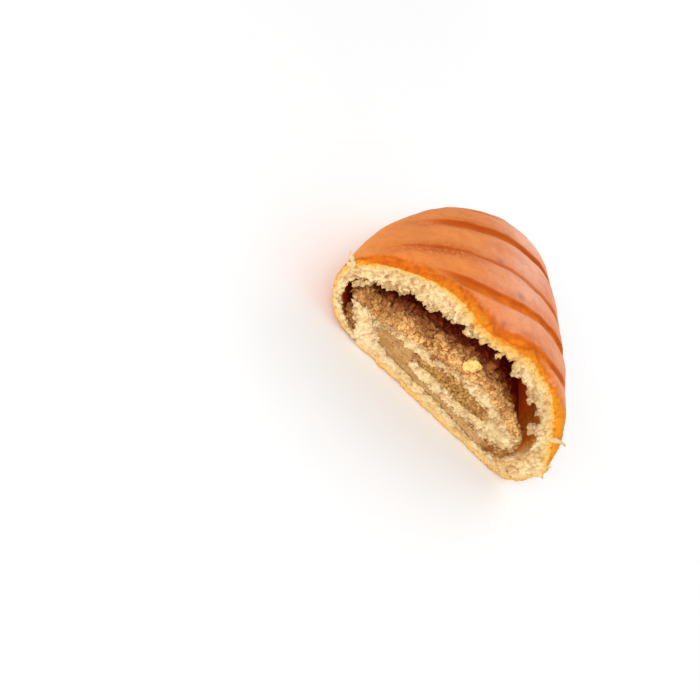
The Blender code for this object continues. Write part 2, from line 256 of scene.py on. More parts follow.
def halves(quads):
    """Two triangles for each quad, those that have collapsed to a line left out."""
    tris = np.vstack([quads[:, [0, 1, 2]], quads[:, [0, 2, 3]]])
    a, b, c = tris.T
    return tris[(a != b) & (b != c) & (c != a)]


def fill_in(ring):
    """Triangles over a closed ring of points X and Z, whatever its shape."""
    return np.array(tessellate_polygon([[(x, z, 0.0) for x, z in ring]]))


def set_points(mesh, points):
    """Write points, in millimetres behind the tear, into a mesh as metres in the part's frame."""
    mesh.vertices.foreach_set("co", ((points - (0.0, LENGTH / 2, 0.0)) * MM).ravel())
    mesh.update()


def outward_normals(mesh):
    """Unit normals at the vertices of a mesh."""
    normals = np.empty(3 * len(mesh.vertices), np.float32)
    mesh.vertices.foreach_get("normal", normals)
    return normals.reshape(-1, 3).astype(float)


def mesh_piece(name, points, tris, material, fields=None, turn_out=True, smooth=True):
    """Object from points in millimetres and triangles, with a number field for each entry of fields."""
    mesh = bpy.data.meshes.new(name)
    mesh.vertices.add(len(points))
    mesh.loops.add(3 * len(tris))
    mesh.loops.foreach_set("vertex_index", tris.ravel().astype(np.int32))
    mesh.polygons.add(len(tris))
    mesh.polygons.foreach_set("loop_start", np.arange(0, 3 * len(tris), 3, dtype=np.int32))
    set_points(mesh, points)
    mesh.update(calc_edges=True)
    for field, values in (fields or {}).items():
        mesh.attributes.new(field, "FLOAT", "POINT").data.foreach_set("value", values.astype(np.float32))
    mesh.materials.append(material)
    if turn_out:
        tidy = bmesh.new()
        tidy.from_mesh(mesh)
        bmesh.ops.recalc_face_normals(tidy, faces=tidy.faces)
        tidy.to_mesh(mesh)
        tidy.free()
    if smooth:
        mesh.shade_smooth()
    obj = bpy.data.objects.new(name, mesh)
    bpy.context.scene.collection.objects.link(obj)
    return obj


def dress(obj, node):
    """Let a piece stand for a CAD node, whose mesh is hidden, and ride on the part's one body."""
    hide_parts(node)
    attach(obj, "root")


# --- dough ----------------------------------------------------------------------------------------------


class Score(NamedTuple):
    """One cut across the crust: where its far edge crosses the middle, its slope, its bow, its left and
    right end, the width of its bare floor and its strength."""
    depth: float
    slope: float
    bow: float
    left: float
    right: float
    broad: float
    strength: float


SCORES = (
    Score(2.3, 0.00, -11.5, -13.0, 36.0, 2.0, 0.9),
    Score(14.0, 0.343, 0.0, -31.0, 34.0, 3.3, 0.95),
    Score(26.6, 0.198, 6.0, -46.0, 27.0, 0.3, 0.85),
    Score(44.4, 0.184, 6.7, -42.0, 26.0, 3.4, 1.0),
    Score(59.0, 0.16, 8.0, -38.0, 32.0, 1.4, 0.35),
)
SCORE_FADE, SCORES_APART = 11.0, 3.0
STEP_UP, STEP_REACH, GROOVE = 0.5, 6.0, 0.8
LOBE_RISE = 0.6
DARK_SPOTS = (                                  # X, Y and size
    (-2.4, 15.8, 1.3), (-11.2, 24.8, 0.8), (-9.7, 42.1, 0.9), (-4.1, 2.9, 0.9), (12.0, 36.5, 0.8),
    (-23.0, 33.0, 0.7),
)
RING_MARKS = (5.0, 14.0, 27.5, 44.0, 57.0)      # rings of the mesh that are bent onto the scores
RING_CALM, RING_LEAST = 64.0, 0.8               # where rings run straight again, least gap of marked ones
OUTLINE_STEP, BASE_STEP, FLANK_STEP, ROLL_STEP = 0.45, 0.85, 0.6, 0.5
ACROSS = 22                                     # cells across the sheet of dough on the torn face
BAKED_IN = 2.0                                  # over this the gold of the crust fades into the crumb
WALL_DEPTHS = (                                 # of the rings of points on the walls of the winding space
    0.22, 0.5, 0.9, 1.5, 2.3, 3.3, 4.6, 6.2, 8.2, 10.7, 13.7, 17.3, 21.6, 26.6, 32.5, 39.5, 48.0,
    POCKET_DEPTH,
)
CRACK_X, CRACK_FROM_Z, CRACK_DEPTH = 7.2, 28.0, 3.4     # crack in the upper lip of the crumb
STREAK_X, STREAK_LEAN, STREAK_MIDDLE_Z = -9.4, 0.25, 34.0   # streak of crust baked into the crumb
GOLD_X, GOLD_HALF = 2.0, 9.0                    # stretch of the upper lip where the crumb is baked golden
TORN_RINGS = 11                                 # first rings of crust, roughened as the crumb is
FIELDS = ("rim", "floor", "edge", "ends", "spots", "pale", "glaze", "crumb", "baked", "stain")


def quarter(start, end, centre, power):
    """Quarter of a superellipse: the centre, plus the way to the start times the cosine of the angle
    raised to 2 / power, plus the way to the end times its sine raised to the same."""
    angle = np.linspace(0.0, math.pi / 2, 90)[:, None]
    start, end, centre = (np.array(p) for p in (start, end, centre))
    to_start, to_end = np.cos(angle).clip(0)**(2.0 / power), np.sin(angle).clip(0)**(2.0 / power)
    return centre + (start - centre) * to_start + (end - centre) * to_end


def loaf_outline():
    """Closed outline at the tear from the seam's notch: left side, over the top, right side, along the
    base."""
    left, right, crown = (-HALF_WIDTH, LEFT_Z), (HALF_WIDTH, RIGHT_Z), (CROWN_X, HEIGHT)
    low_left, low_right = (BASE_LEFT, 0.0), (BASE_RIGHT, 0.0)
    centres = ((BASE_LEFT, LEFT_Z), (CROWN_X, LEFT_Z), (CROWN_X, RIGHT_Z), (BASE_RIGHT, RIGHT_Z))
    corners = (low_left, left, crown, right, low_right)
    lower_left, *others = (
        quarter(*ends, power) for *ends, power in zip(corners, corners[1:], centres, SIDE_ROUNDNESS)
    )
    lower_left = lower_left[lower_left[:, 0] < SEAM_X - SEAM_HALF]
    over = np.vstack([lower_left, *(side[1:] for side in others)])
    notch = (SEAM_X + 0.5 * SEAM_HALF, SEAM_DEPTH)
    flank = resample([notch, over[0]], FLANK_STEP)
    base = resample([low_right, (SEAM_X + SEAM_HALF, 0.15)], BASE_STEP)
    back = resample([base[-1], notch], FLANK_STEP)
    return np.vstack([flank[:-1], resample(over, OUTLINE_STEP), base[1:], back[1:-1]])


def narrowing(y):
    """Share of the full width left at depth y."""
    v = np.clip(y / LENGTH, 0.0, 1.0)
    return (1 - v**PLAN_ROUNDNESS)**(1 / PLAN_ROUNDNESS) * (1 - PLAN_TAPER * v)


def place(x, z, y):
    """Carry points X, Z of the torn face to depth y: the width narrows by the plan curve and the height
    closes on the far end's tip by a superellipse, and the torn face leans back."""
    v = np.clip(y / LENGTH, 0.0, 1.0)
    above = z - END_TIP_Z
    crown = (1 - v**CROWN_ROUNDNESS)**(1 / CROWN_ROUNDNESS)
    late = np.clip((v - BASE_LIFT_FROM) / (1 - BASE_LIFT_FROM), 0.0, 1.0)
    height = END_TIP_Z + above * np.where(above > 0, crown, np.sqrt(1 - late**2))
    return np.stack([x * narrowing(y), y + (1 - v) * TEAR_LEAN * height, height], axis=-1)


def score_line(score, x):
    """Depth of a score where it crosses x: a straight slope with a bow that grows with x squared."""
    return score.depth + score.slope * x - score.bow * x * x * MM


def ring_depths(steps, x, z):
    """Depth of every ring at every column. Marked rings are bent onto the score lines over the top of the
    loaf, and the rings between them are spread evenly: depth = sum over the gaps of gap width times the
    share of the gap that the ring has passed."""
    over = ease(z, 12.0, 24.0)
    marks = [np.zeros(len(x)), np.full(len(x), RIM_REACH)]
    for score, ahead, calm in zip(SCORES, (*SCORES[1:], SCORES[-1]), RING_MARKS):
        depth = np.full(len(x), calm)
        for _ in range(25):
            at = place(x, z, depth)
            line = score_line(score, at[:, 0])
            if ahead is not score:
                line = np.minimum(line, score_line(ahead, at[:, 0]) - SCORES_APART)
            depth = (line - (at[:, 1] - depth)).clip(0.0, 0.93 * LENGTH)
        marks.append(soft_max(calm + over * (depth - calm), marks[-1] + RING_LEAST, RING_LEAST))
    marks += [soft_max(RING_CALM, marks[-1] + RING_LEAST, RING_LEAST), np.full(len(x), LENGTH)]
    calm = (0.0, RIM_REACH, *RING_MARKS, RING_CALM, LENGTH)
    depth = np.zeros((len(steps), len(x)))
    for low, high, a, b in zip(calm, calm[1:], marks, marks[1:]):
        share = np.clip((steps - low) / (high - low), 0.0, 1.0)
        depth += share[:, None] * (b - a)
    return depth


def ring_steps():
    """Depths of the rings before they are bent: close together at the rim and at the scores, wider
    between."""
    rim = RIM_REACH * (1 - np.cos(np.linspace(0.0, math.pi / 2, 9)))
    fine = np.linspace(RIM_REACH, BASE_LIFT_FROM * LENGTH, 4000)
    off = np.min([np.abs(fine - mark) for mark in RING_MARKS], axis=0)
    gap = 0.3 + 0.75 * ease(off, 0.8, 3.8)
    passed = np.r_[0.0, np.cumsum(np.diff(fine) / gap[1:])]
    even = np.interp(np.arange(1, int(passed[-1])), passed, fine)
    closing = LENGTH * np.sin(np.linspace(math.asin(BASE_LIFT_FROM), math.radians(89), 27))
    return np.r_[rim, even, closing]


def over_span(wide, score):
    """1 along a score, eased to 0 past its ends."""
    return ease(wide, score.left, score.left + SCORE_FADE) * ease(wide, score.right, score.right - SCORE_FADE)


def crust_relief(points):
    """Height along the normal, and how far each point is cut floor, painted shadow under a cut's edge, weakly
    browned end and dark spot. Behind a score the next lobe stands up in a small step and falls away slowly to
    the one after, in front of it the bare floor lies in a shallow groove that tapers to its ends, and each
    lobe bulges as a sine between its scores."""
    x, y, z = np.moveaxis(points, -1, 0)
    wide = x / narrowing(y).clip(0.2)
    side = 0.42 * HEIGHT * narrowing(y)
    top = ease(z, side, side + 8.0)
    height, floor, edge, ends = (np.zeros(x.shape) for _ in range(4))
    lines = [score_line(score, x) for score in SCORES]
    for number, (line, score) in enumerate(zip(lines, SCORES)):
        span = over_span(wide, score) * top
        broad = score.broad * (0.25 + 0.75 * span)
        wander = 0.3 * np.sin(x * 0.31 + 2.1 * number) + 0.15 * np.sin(x * 0.9 + number)
        behind = y - line - wander * 0.5
        up = STEP_UP * ease(behind, -0.27, 0.63) * np.exp(-(behind.clip(0) / STEP_REACH)**1.3)
        down = GROOVE * ease(behind + broad + 0.7, 0.0, 0.9 + 0.3 * broad) * ease(behind, 0.5, -0.4)
        height += score.strength * (up - down) * span
        soft = ease(behind + broad + wander * 0.8, 0.0, 1.3) * ease(behind, 0.75, 0.15)
        floor = np.maximum(floor, soft * span**0.5 * min(1.0, score.strength + 0.1))
        # painted shadow line under the overhanging edge of the far lobe, with a weaker broad band of it behind
        edge = np.maximum(edge, bell(behind, 0.1, 0.45) * span * score.strength)
        edge = np.maximum(edge, 0.32 * bell(behind, 1.5, 1.4) * (behind > 0) * span)
        if number in (2, 3):
            ends = np.maximum(ends, 1.4 * bell(wide, -30.0, 10.0) * bell(behind, -2.0, 3.0) * top)
    for near, far, score in zip(lines, lines[1:], SCORES[1:]):
        room = far - near
        share = np.clip((y - near) / room.clip(1.0), 0.0, 1.0)
        height += LOBE_RISE * np.sin(math.pi * share) * ease(room, 1.0, 9.0) * over_span(wide, score) * top
    spots = sum(bell(x, a, 1.3 * size) * bell(y, b, size) for a, b, size in DARK_SPOTS) * top
    return height, floor, edge, ends, spots


def shoulder(x, z):
    """0 low on the sides of the loaf, eased to 1 over its top, from a little higher on the left."""
    low = 12.0 + 4.0 * (x < 0)
    return ease(z, low, low + 13.0)


def crust_rings():
    """Grid of crust points, rows from the tear to the far end and columns round the loaf, with their
    fields. The grid is moved along its normals by relief and noise, its rim is rolled in, the lip sags
    left of its middle, and a flap of it stands out low on the right."""
    outline = loaf_outline()
    steps = ring_steps()
    depth = ring_depths(steps, *outline.T)
    grid = place(outline[None, :, 0], outline[None, :, 1], depth)
    along = np.roll(grid, -1, 1) - np.roll(grid, 1, 1)
    normal = np.stack([-along[..., 2], np.zeros(depth.shape), along[..., 0]], axis=-1)
    normal /= np.linalg.norm(normal, axis=-1)[..., None].clip(1e-9)
    relief, floor, edge, ends, spots = crust_relief(grid)
    flat = grid.reshape(-1, 3)
    lumps = waves(flat, ((16.0, 0.45), (6.5, 0.28), (2.8, 0.1)), 1).reshape(depth.shape)
    torn = waves(flat * (1, 0, 1), ((5.0, 0.6), (1.6, 0.5)), 5).reshape(depth.shape)
    reach = RIM_REACH + 0.9 * torn
    inward = 1 - np.sqrt((1 - np.clip(1 - steps[:, None] / reach, 0.0, 1.0)**2).clip(0))
    upper = shoulder(*outline.T)
    move = (relief + lumps) * ease(grid[..., 2], 1.5, 6.5) * ease(depth, LENGTH, 0.88 * LENGTH)
    move -= RIM_ROLL * inward * (0.22 + 0.78 * upper)
    from_notch = np.minimum(np.arange(len(outline)), np.arange(len(outline))[::-1] + 1)
    move *= ease(from_notch, 1, 9)
    grid = grid + normal * move[..., None]
    x, y, z = np.moveaxis(grid, -1, 0)
    z -= SAG_DEPTH * bell(x, SAG_X, SAG_HALF) * bell(y, 0.0, SAG_REACH) * ease(z, 20.0, 32.0)
    flap = np.exp(-((z - 12.6) / 3.2)**4) * ease(x, 38.0, 42.0) * bell(depth, 0.0, 2.6)
    x += (1.5 + 0.8 * torn) * flap

    bare = -0.8 + 2.0 * (1 - upper)
    narrow = ease(outline[:, 0], -9.0, -4.0) * ease(outline[:, 0], 34.0, 26.0) * upper
    rim_from = bare + 0.4 + 1.2 * torn * upper
    rim_width = 1.2 + (3.2 - 2.4 * narrow) * upper + 1.2 * torn
    # Where the egg glaze lies thickest: it sets the coat, and the crust colour also paints a pinker sheen by
    # it
    glaze = (0.1 + 0.9 * ease(x, -24.0, 0.0)) * ease(z, 18.0, 32.0) * (1 - 0.6 * ease(x, -1.0, 13.0))
    return grid, {
        "rim": 1 - smoothstep((depth - rim_from) / rim_width),
        "floor": floor,
        "edge": edge,
        "ends": ends,
        "spots": spots,
        "crumb": 1 - smoothstep((depth - bare * (1 + 0.6 * torn)) / 0.5),
        "baked": 0.65 + 0.35 * upper + 0 * depth,
        "pale": 1 - ease(z, 9.0, 29.0) * (1 - 0.3 * ease(x, -4.0, -30.0)),
        "glaze": glaze,
    }


def pocket_shade_ramp(y, reach):
    """Painted shade in the pocket: 0 near the tear, 1 from reach millimetres on."""
    return smoothstep((y - 1.6) / reach)


def ragged(line, away, reach):
    """Closed mouth of the winding space with a ragged edge: noise moves it along away, less where the
    opposite edge is near. The gap is the least distance to points more than reach millimetres on."""
    along = lengths_along(np.vstack([line, line[:1]]))
    apart = np.abs(along[:-1, None] - along[None, :-1])
    apart = np.minimum(apart, along[-1] - apart)
    gap = np.where(apart > reach, np.linalg.norm(line[:, None] - line[None], axis=-1), 99.0).min(axis=1)
    spots = np.column_stack([line[:, 0], np.zeros(len(line)), line[:, 1]])
    rag = waves(spots, ((3.2, 0.75), (1.5, 0.55), (0.8, 0.3)), 21)
    crack = CRACK_DEPTH * bell(line[:, 0], CRACK_X, 0.5) * (line[:, 1] > CRACK_FROM_Z)
    return away * (rag * ease(gap, 0.65, 7.15) + crack)[:, None]


def crumb_height(points):
    """Height of torn crumb: broad swells, rounded nodules of two sizes round scattered seeds, stronger in
    patches, fine noise, and pores sunk round a third set of seeds."""
    bent = points + 0.45 * np.stack([wave(points / 1.9 + 9.1 * k, 60 + k) for k in range(3)], axis=1)
    swell = waves(points, ((7.0, 0.36), (3.0, 0.28)), 11)
    patch = smoothstep(0.5 + 0.9 * wave(points / 4.5, 13))
    large, small = nearest_seeds(bent / 2.3, 31)[0], nearest_seeds(bent / 1.2, 32)[0]
    pore, owner = nearest_seeds(points / 1.5, 33)
    nodules = 0.32 * (0.6 - (large / 0.7)**2) + (0.34 + 0.35 * patch) * (0.6 - (small / 0.7)**2)
    pits = 0.7 * bell(pore, 0.0, 0.24) * (owner % 2 == 0)
    return swell + nodules - pits + waves(points, ((0.8, 0.22), (0.5, 0.14)), 17)


def torn_lines(rim):
    """Outer and inner line of the sheet of dough at the tear, from the seam round the crust's rim, across
    the seam and along the roll to the tongue's end, and then the closed mouth of the winding space
    between the turns, the way outward from it, and how far its ragged edge is moved."""
    inner_line = np.vstack([
        smooth_line(WRAP_INNER)[:-1], smooth_line(SLOT_FLOOR)[:-1], smooth_line(FOLD_LINING),
    ])
    roll = smooth_line(ROLL_OUTER, ROLL_STEP)
    start = place(roll[:1, 0], roll[:1, 1], 0.0)[0]
    glue = rim[0] + (start - rim[0]) * np.linspace(0.0, 1.0, ACROSS + 1)[:, None]
    rough_outer = np.vstack([rim[:, [0, 2]], glue[:, [0, 2]], roll[1:]])
    on_outer, on_inner = facing(rough_outer, inner_line)
    opposite = at_lengths(inner_line, np.interp(lengths_along(rough_outer), on_outer, on_inner))
    last = len(opposite) - 1
    mouth = np.vstack([opposite, roll[1:-1][::-1]])
    away = push_2d(mouth)
    rag = ragged(mouth, away, 14.0)
    torn = mouth + rag
    torn[0] = mouth[0]
    outer = np.vstack([rim, glue, place(*torn[last + 1:][::-1].T, 0.0), place(*torn[last:last + 1].T, 0.0)])
    return outer, place(*torn[:last + 1].T, 0.0), mouth, away, rag


def sheet_fields(outer, inner, points, around):
    """Fields and roughness of the torn face, rows along the sheet and columns across it from its outer
    side."""
    share = np.linspace(0.0, 1.0, ACROSS + 1)
    x, z = outer[:, :1], outer[:, 2:]
    thick = np.linalg.norm(inner - outer, axis=1)[:, None]
    from_crust, from_inside = share * thick, (1 - share) * thick
    from_edge = np.minimum(share, 1 - share) * thick
    row = np.arange(len(outer))[:, None]
    crusted = row < around
    upper = shoulder(x, z)
    wander = (0.9 * wave(outer / 2.6, 8) + 0.6 * wave(outer / 1.1, 7))[:, None] * upper
    baked_in = BAKED_IN * (1 + 0.4 * wave(outer / 6.0, 9)[:, None] - 0.4 * ease(x, -16.0, -24.0))
    baked_in = baked_in * (0.7 + 0.3 * upper) + 0.9 * BAKED_IN * bell(x, GOLD_X, GOLD_HALF) * upper
    baked = (0.65 + 0.35 * upper) * np.exp(-(from_crust + wander).clip(0) / baked_in) * crusted
    across, _, high = np.moveaxis(points, -1, 0)
    bend = STREAK_LEAN * (high - STREAK_MIDDLE_Z) + 0.5 * np.sin(1.4 * high)
    streak = bell(across + bend, STREAK_X, 1.0) * ease(high, 28.5, 30.5) * crusted
    nutty = ease(z, 9.0, 13.0) * (row > around + ACROSS)
    stain = 0.12 * np.exp(-from_edge / 0.5) * ~(crusted & (share < 0.5))
    stain += 0.3 * nutty * np.exp(-from_crust / 0.9)
    right = ease(x, 33.0, 38.0) * ease(z, 21.0, 16.0) * crusted
    stain += 0.36 * right * np.exp(-(from_inside / 1.7)**1.5)
    crumb = np.where(crusted, smoothstep((from_crust + 1.0 - upper) / 0.4), 1.0)
    rough = np.where(crusted, 0.5 + 0.5 * smoothstep(from_crust / 1.5), 1.1)
    return {"crumb": crumb, "baked": np.maximum(baked, 0.88 * streak), "rim": crusted, "stain": stain}, rough


def make_dough(material, roughness):
    """One closed skin: crust rings, the torn face as a grid along and across the sheet of dough, and the
    walls of the winding space carried back from the torn face. Crumb is then pushed in and out along the
    skin's normals by noise bands and pores."""
    grid, crust_fields = crust_rings()
    rings, around = grid.shape[:2]
    tip = rings * around
    crust = np.arange(tip).reshape(rings, around)
    outer, inner, mouth, away, rag = torn_lines(grid[0])
    last = len(outer) - 1
    share = np.linspace(0.0, 1.0, ACROSS + 1)
    sheet = outer[1:last, None] + (inner - outer)[1:last, None] * share[None, 1:, None]
    back = np.array(WALL_DEPTHS)[:, None]
    lip = 0.6 * (1 - np.sqrt(1 - (1 - back / 1.2).clip(0)**2))
    flat = mouth + away * lip[..., None] + rag * np.exp(-back / 1.8)[..., None]
    walls = place(flat[..., 0], flat[..., 1], back)

    index = np.empty((last + 1, ACROSS + 1), int)
    index[:, 0] = np.r_[crust[0], 0, tip + 1 + np.arange(last - around)]
    index[0] = index[around:around + ACROSS + 1, 0]
    index[last] = index[last, 0]
    index[1:last, 1:] = index[last, 0] + 1 + np.arange((last - 1) * ACROSS).reshape(last - 1, ACROSS)
    mouth_index = np.r_[index[:last, -1], index[last, 0], index[around + ACROSS + 1:last, 0][::-1]]
    wall_index = index[last - 1, -1] + 1 + np.arange(len(back) * len(mouth)).reshape(len(back), -1)
    points = np.vstack([
        grid.reshape(-1, 3), [[0.0, LENGTH, END_TIP_Z]], outer[around + 1:], sheet.reshape(-1, 3),
        walls.reshape(-1, 3),
    ])
    tris = np.vstack([
        halves(grid_quads(crust, closed=True)),
        np.column_stack([crust[-1], np.roll(crust[-1], -1), np.full(around, tip)]),
        halves(grid_quads(index)),
        halves(grid_quads(np.vstack([mouth_index, wall_index]), closed=True)),
        wall_index[-1][fill_in(mouth)],
    ])

    fields = {name: np.zeros(len(points)) for name in FIELDS}
    for name, values in crust_fields.items():
        fields[name][:tip] = values.ravel()
    rough = np.zeros(len(points))
    torn_fields, rough[index] = sheet_fields(outer, inner, points[index], around)
    for name, values in torn_fields.items():
        fields[name][index] = values
    slow = ease(mouth[:, 0], 29.0, 34.0) * (0.35 + 0.65 * ease(mouth[:, 1], 19.0, 12.0))
    fields["stain"][wall_index] = ease(back, -0.4, 2.2 + 5.0 * slow)
    fields["crumb"][wall_index] = fields["crumb"][mouth_index] = 1.0
    rough[wall_index] = 0.75
    rough[crust[:TORN_RINGS]] = 0.9 * (1 - np.arange(TORN_RINGS) / TORN_RINGS)[:, None]**0.8
    x, y, _ = points.T
    # painted shade: stained crumb and walls darken with depth into the pocket, over a shorter reach on the
    # left and hardly at all on the lit right wall within about 10 mm of the tear
    pocket_shade = smoothstep((y + 0.6) / (5.0 + 7.0 * ease(x, -20.0, -10.0)))
    pocket_shade *= (fields["stain"] > 0.2) * (1 - 0.95 * ease(x, 10.0, 19.0) * ease(y, 24.0, 10.0))
    relief = crumb_height(points) * rough * roughness
    # painted shade: low marks crumb that lies low in its relief, browned in the finish to stand in for the
    # shade in its hollows
    fields |= {"pocket_shade": pocket_shade, "low": ease(relief, 0.35, -0.75)}
    obj = mesh_piece("dough_skin", points, tris, material, fields)
    points = points + outward_normals(obj.data) * relief[:, None]
    points[:, 2] = points[:, 2].clip(0.0)
    set_points(obj.data, points)
    dress(obj, "dough")


# --- filling --------------------------------------------------------------------------------------------

FILLING_TOP = (                                 # surface of the walnut layer under the air pocket
    (-38.6, 10.0), (-38.4, 14.0), (-31.0, 15.2), (-20.0, 18.6), (-8.0, 20.6), (3.0, 22.8),
    (12.0, 22.4), (21.0, 19.6), (29.0, 16.8), (33.6, 13.4), (34.6, 9.6), (33.6, 6.0),
)
FILLING_STEP, FILLING_ACROSS, FILLING_RINGS = 0.55, 12, 51
SLOPE, RECESS = 4.6, 0.5                        # depths at the top and the foot of the slope of its torn edge
FILLING_BACK, CLEARANCE = 55.5, 0.3
HOLLOW_FROM = ((50.0, 30.0), (58.0, 15.0), (61.0, 10.0), (65.0, 6.0), (68.5, 1.6), (90.0, 1.0))
LEFT_END, POCKET_END = 8.0, 88.0                # lengths along the outer face between which its top is bare
LOOSE_FROM, PASTE_FROM, PASTE_TO = 70.0, 94.0, 166.0    # lengths where it is loose again, and smooth paste


def filling_lines():
    """Inner and outer face of the filling at the tear, sampled so that opposite points share a number."""
    fold = smooth_line(FOLD_LINING)
    far = int(np.argmax(fold[:, 0]))
    roll = np.vstack([smooth_line(ROLL_OUTER[2:])[:-1], fold[:far - 1:-1]])
    face = np.vstack([smooth_line(FILLING_TOP), smooth_line(SLOT_FLOOR)[4:-1], fold[:far + 1]])
    on_roll, on_face = facing(roll, face)
    both = on_roll + on_face
    at = np.linspace(0.0, both[-1], int(both[-1] / 2 / FILLING_STEP))
    on_roll, on_face = np.interp(at, both, on_roll), np.interp(at, both, on_face)
    return at_lengths(roll, on_roll), at_lengths(face, on_face), on_face


def bare(on_face):
    """1 along the open top of the filling, eased to 0 at its two ends."""
    return ease(on_face, 0.0, LEFT_END) * ease(on_face, POCKET_END, POCKET_END - 14.0)


def set_back(on_face):
    """How much further back than the rest the two ends of the open top lie at the tear."""
    right = ease(on_face, LOOSE_FROM, LOOSE_FROM + 8.0) * ease(on_face, PASTE_FROM, PASTE_FROM - 8.0)
    return 2.4 * ease(on_face, 7.0, 0.0) + 1.4 * right


def hollow(y, on_face):
    """1 where the pocket is hollow on its right, behind a line that runs slantwise back from the tear."""
    return smoothstep((y - np.interp(on_face, *zip(*HOLLOW_FROM))) / 2.5)


def bare_top(y, on_face, thick):
    """Height of the open surface over its line at the tear: it rises a little behind the slope at the
    tear, then sinks back into the pocket, and falls away into the hollow on the right."""
    sink = (thick - 1.0).clip(0.0, 3.4) * ease(y, 12.0, 21.0)
    sink = np.maximum(sink, (thick - 0.6).clip(0.0, 3.4) * hollow(y, on_face))
    return (0.9 * ease(y, SLOPE, SLOPE + 5.0) * ease(on_face, 58.0, 46.0) - sink) * bare(on_face)


def make_filling(material):
    """Filling as one closed skin: its torn edge as a grid along and across the band, and its faces
    carried back between the turns of dough. The crumbly parts are raised in lumps by cell noise and noise
    bands."""
    roll, face, on_face = filling_lines()
    count = len(roll)
    share = np.linspace(0.0, 1.0, FILLING_ACROSS + 1)
    open_top = ease(on_face, POCKET_END, POCKET_END - 6.0)
    paste = ease(on_face, PASTE_FROM, PASTE_FROM + 4.0) * ease(on_face, PASTE_TO, PASTE_TO - 4.0)
    thick = np.linalg.norm(face - roll, axis=1)
    trim = np.minimum(CLEARANCE / thick.clip(0.9), 0.3) * (1 - 0.8 * paste)
    near, far = trim + 0.1 * open_top, 1 - trim * (1 - open_top)
    at = near[:, None] + (far - near)[:, None] * share
    front_2d = roll[:, None] + (face - roll)[:, None] * at[..., None]
    front = place(front_2d[..., 0], front_2d[..., 1], 0.0)
    front[..., 1] += (RECESS + set_back(on_face) - 0.35 * paste)[:, None]
    front[..., 1] += (SLOPE - RECESS) * bare(on_face)[:, None] * share**1.2

    index = np.arange(front[..., 0].size).reshape(front.shape[:2])
    ring_index = np.r_[index[:, -1], index[-1, 1:-1][::-1], index[::-1, 0], index[0, 1:-1]]
    ring = front_2d.reshape(-1, 2)[ring_index]
    ring_face, ring_thick = np.zeros(len(ring)), np.zeros(len(ring))
    ring_face[:count], ring_thick[:count] = on_face, thick
    start = front.reshape(-1, 3)[ring_index, 1] - TEAR_LEAN * ring[:, 1]
    part = np.linspace(0.0, 1.0, FILLING_RINGS + 1)[1:, None]**1.15
    y = start + (FILLING_BACK - start) * part
    walls = place(ring[:, 0], ring[:, 1] + bare_top(y, ring_face, ring_thick), y)
    wall_index = np.vstack([ring_index, index.size + np.arange(y.size).reshape(y.shape)])
    points = np.vstack([front.reshape(-1, 3), walls.reshape(-1, 3)])
    tris = np.vstack([
        halves(grid_quads(index)), halves(grid_quads(wall_index, closed=True)), wall_index[-1][fill_in(ring)],
    ])

    upper_wall = wall_index[:, :count]
    edge_hollow = hollow(points[upper_wall, 1], on_face)
    # painted shade: the filling darkens with depth into the pocket, and fully along the edge of the hollow on
    # its right
    crumbly, smooth, pocket_shade = np.zeros(len(points)), np.zeros(len(points)), pocket_shade_ramp(points[:, 1], 7.0)
    crumbly[index] = (1 - paste)[:, None] * 0.6 * smoothstep(0.2 + share * 4.0)
    crumbly[upper_wall] = open_top * (1 - 0.8 * edge_hollow)
    smooth[index] = paste[:, None]
    pocket_shade[upper_wall] = np.maximum(pocket_shade[upper_wall], edge_hollow * open_top)
    obj = mesh_piece("filling_body", points, tris, material, {"paste": smooth, "pocket_shade": pocket_shade})
    big, small = nearest_seeds(points / 2.9, 41)[0], nearest_seeds(points / 1.3, 42)[0]
    lumps = 0.9 * (0.6 - big) + 0.4 * (0.55 - small) + waves(points, ((7.0, 0.5), (2.2, 0.35)), 43)
    height = crumbly * lumps + 0.08 * (1 - crumbly) * wave(points / 1.5, 44)
    set_points(obj.data, points + outward_normals(obj.data) * height[:, None])
    dress(obj, "walnut_filling")


# --- crumbs, grains and nut pieces ----------------------------------------------------------------------

NUT_PIECES = (                                  # X, Y, Z, size and tone of the largest walnut pieces
    (1.6, 2.4, 21.6, 4.0, 1.0), (2.9, 2.2, 23.2, 3.0, 0.8), (0.2, 2.6, 20.6, 2.6, 0.9),
)
CLUMPS, EDGE_GRAINS, FALLEN_CRUMBS = 1150, 1400, 150
TUFTS = (                                       # X, Z and size of crumbs that hang on the lip of the tear
    (-39.9, 15.6, 1.5), (-38.2, 17.8, 1.4), (-36.0, 21.4, 1.9), (-35.0, 20.6, 1.3), (-29.4, 24.2, 1.6),
    (-22.2, 27.0, 2.0), (-20.9, 26.4, 1.5), (-16.0, 29.0, 1.7), (-9.0, 29.4, 1.4), (-7.6, 28.8, 1.1),
    (3.2, 30.5, 1.2), (12.0, 30.8, 1.3), (30.2, 20.8, 1.5), (31.4, 19.6, 1.1),
    (-36.6, 13.2, 1.3), (31.2, 13.6, 1.5), (31.9, 10.6, 1.3),
)
LIP_TUFTS, TUFT_LUMPS = 14, 12                  # smaller tufts at random along it, and lumps in each tuft
SHREDS = (                                      # X, Y, Z, turn in degrees, length and width of torn shreds
    (-46.9, 0.7, 20.6, 150.0, 4.8, 1.3), (-45.4, 1.0, 18.4, 165.0, 3.0, 1.6),
    (38.4, 0.6, 25.4, 12.0, 5.0, 1.2), (37.0, 0.8, 23.8, 30.0, 3.6, 1.5),
    (46.0, 0.7, 11.6, -8.0, 4.6, 1.2), (44.6, 0.8, 15.2, 40.0, 3.2, 1.6),
)
SHRED_THICK = 0.6
SLOT_CRUMBS = ((-35.8, 7.4), (-34.0, 5.8), (-31.0, 4.4))    # line of crumbs low in the left slot


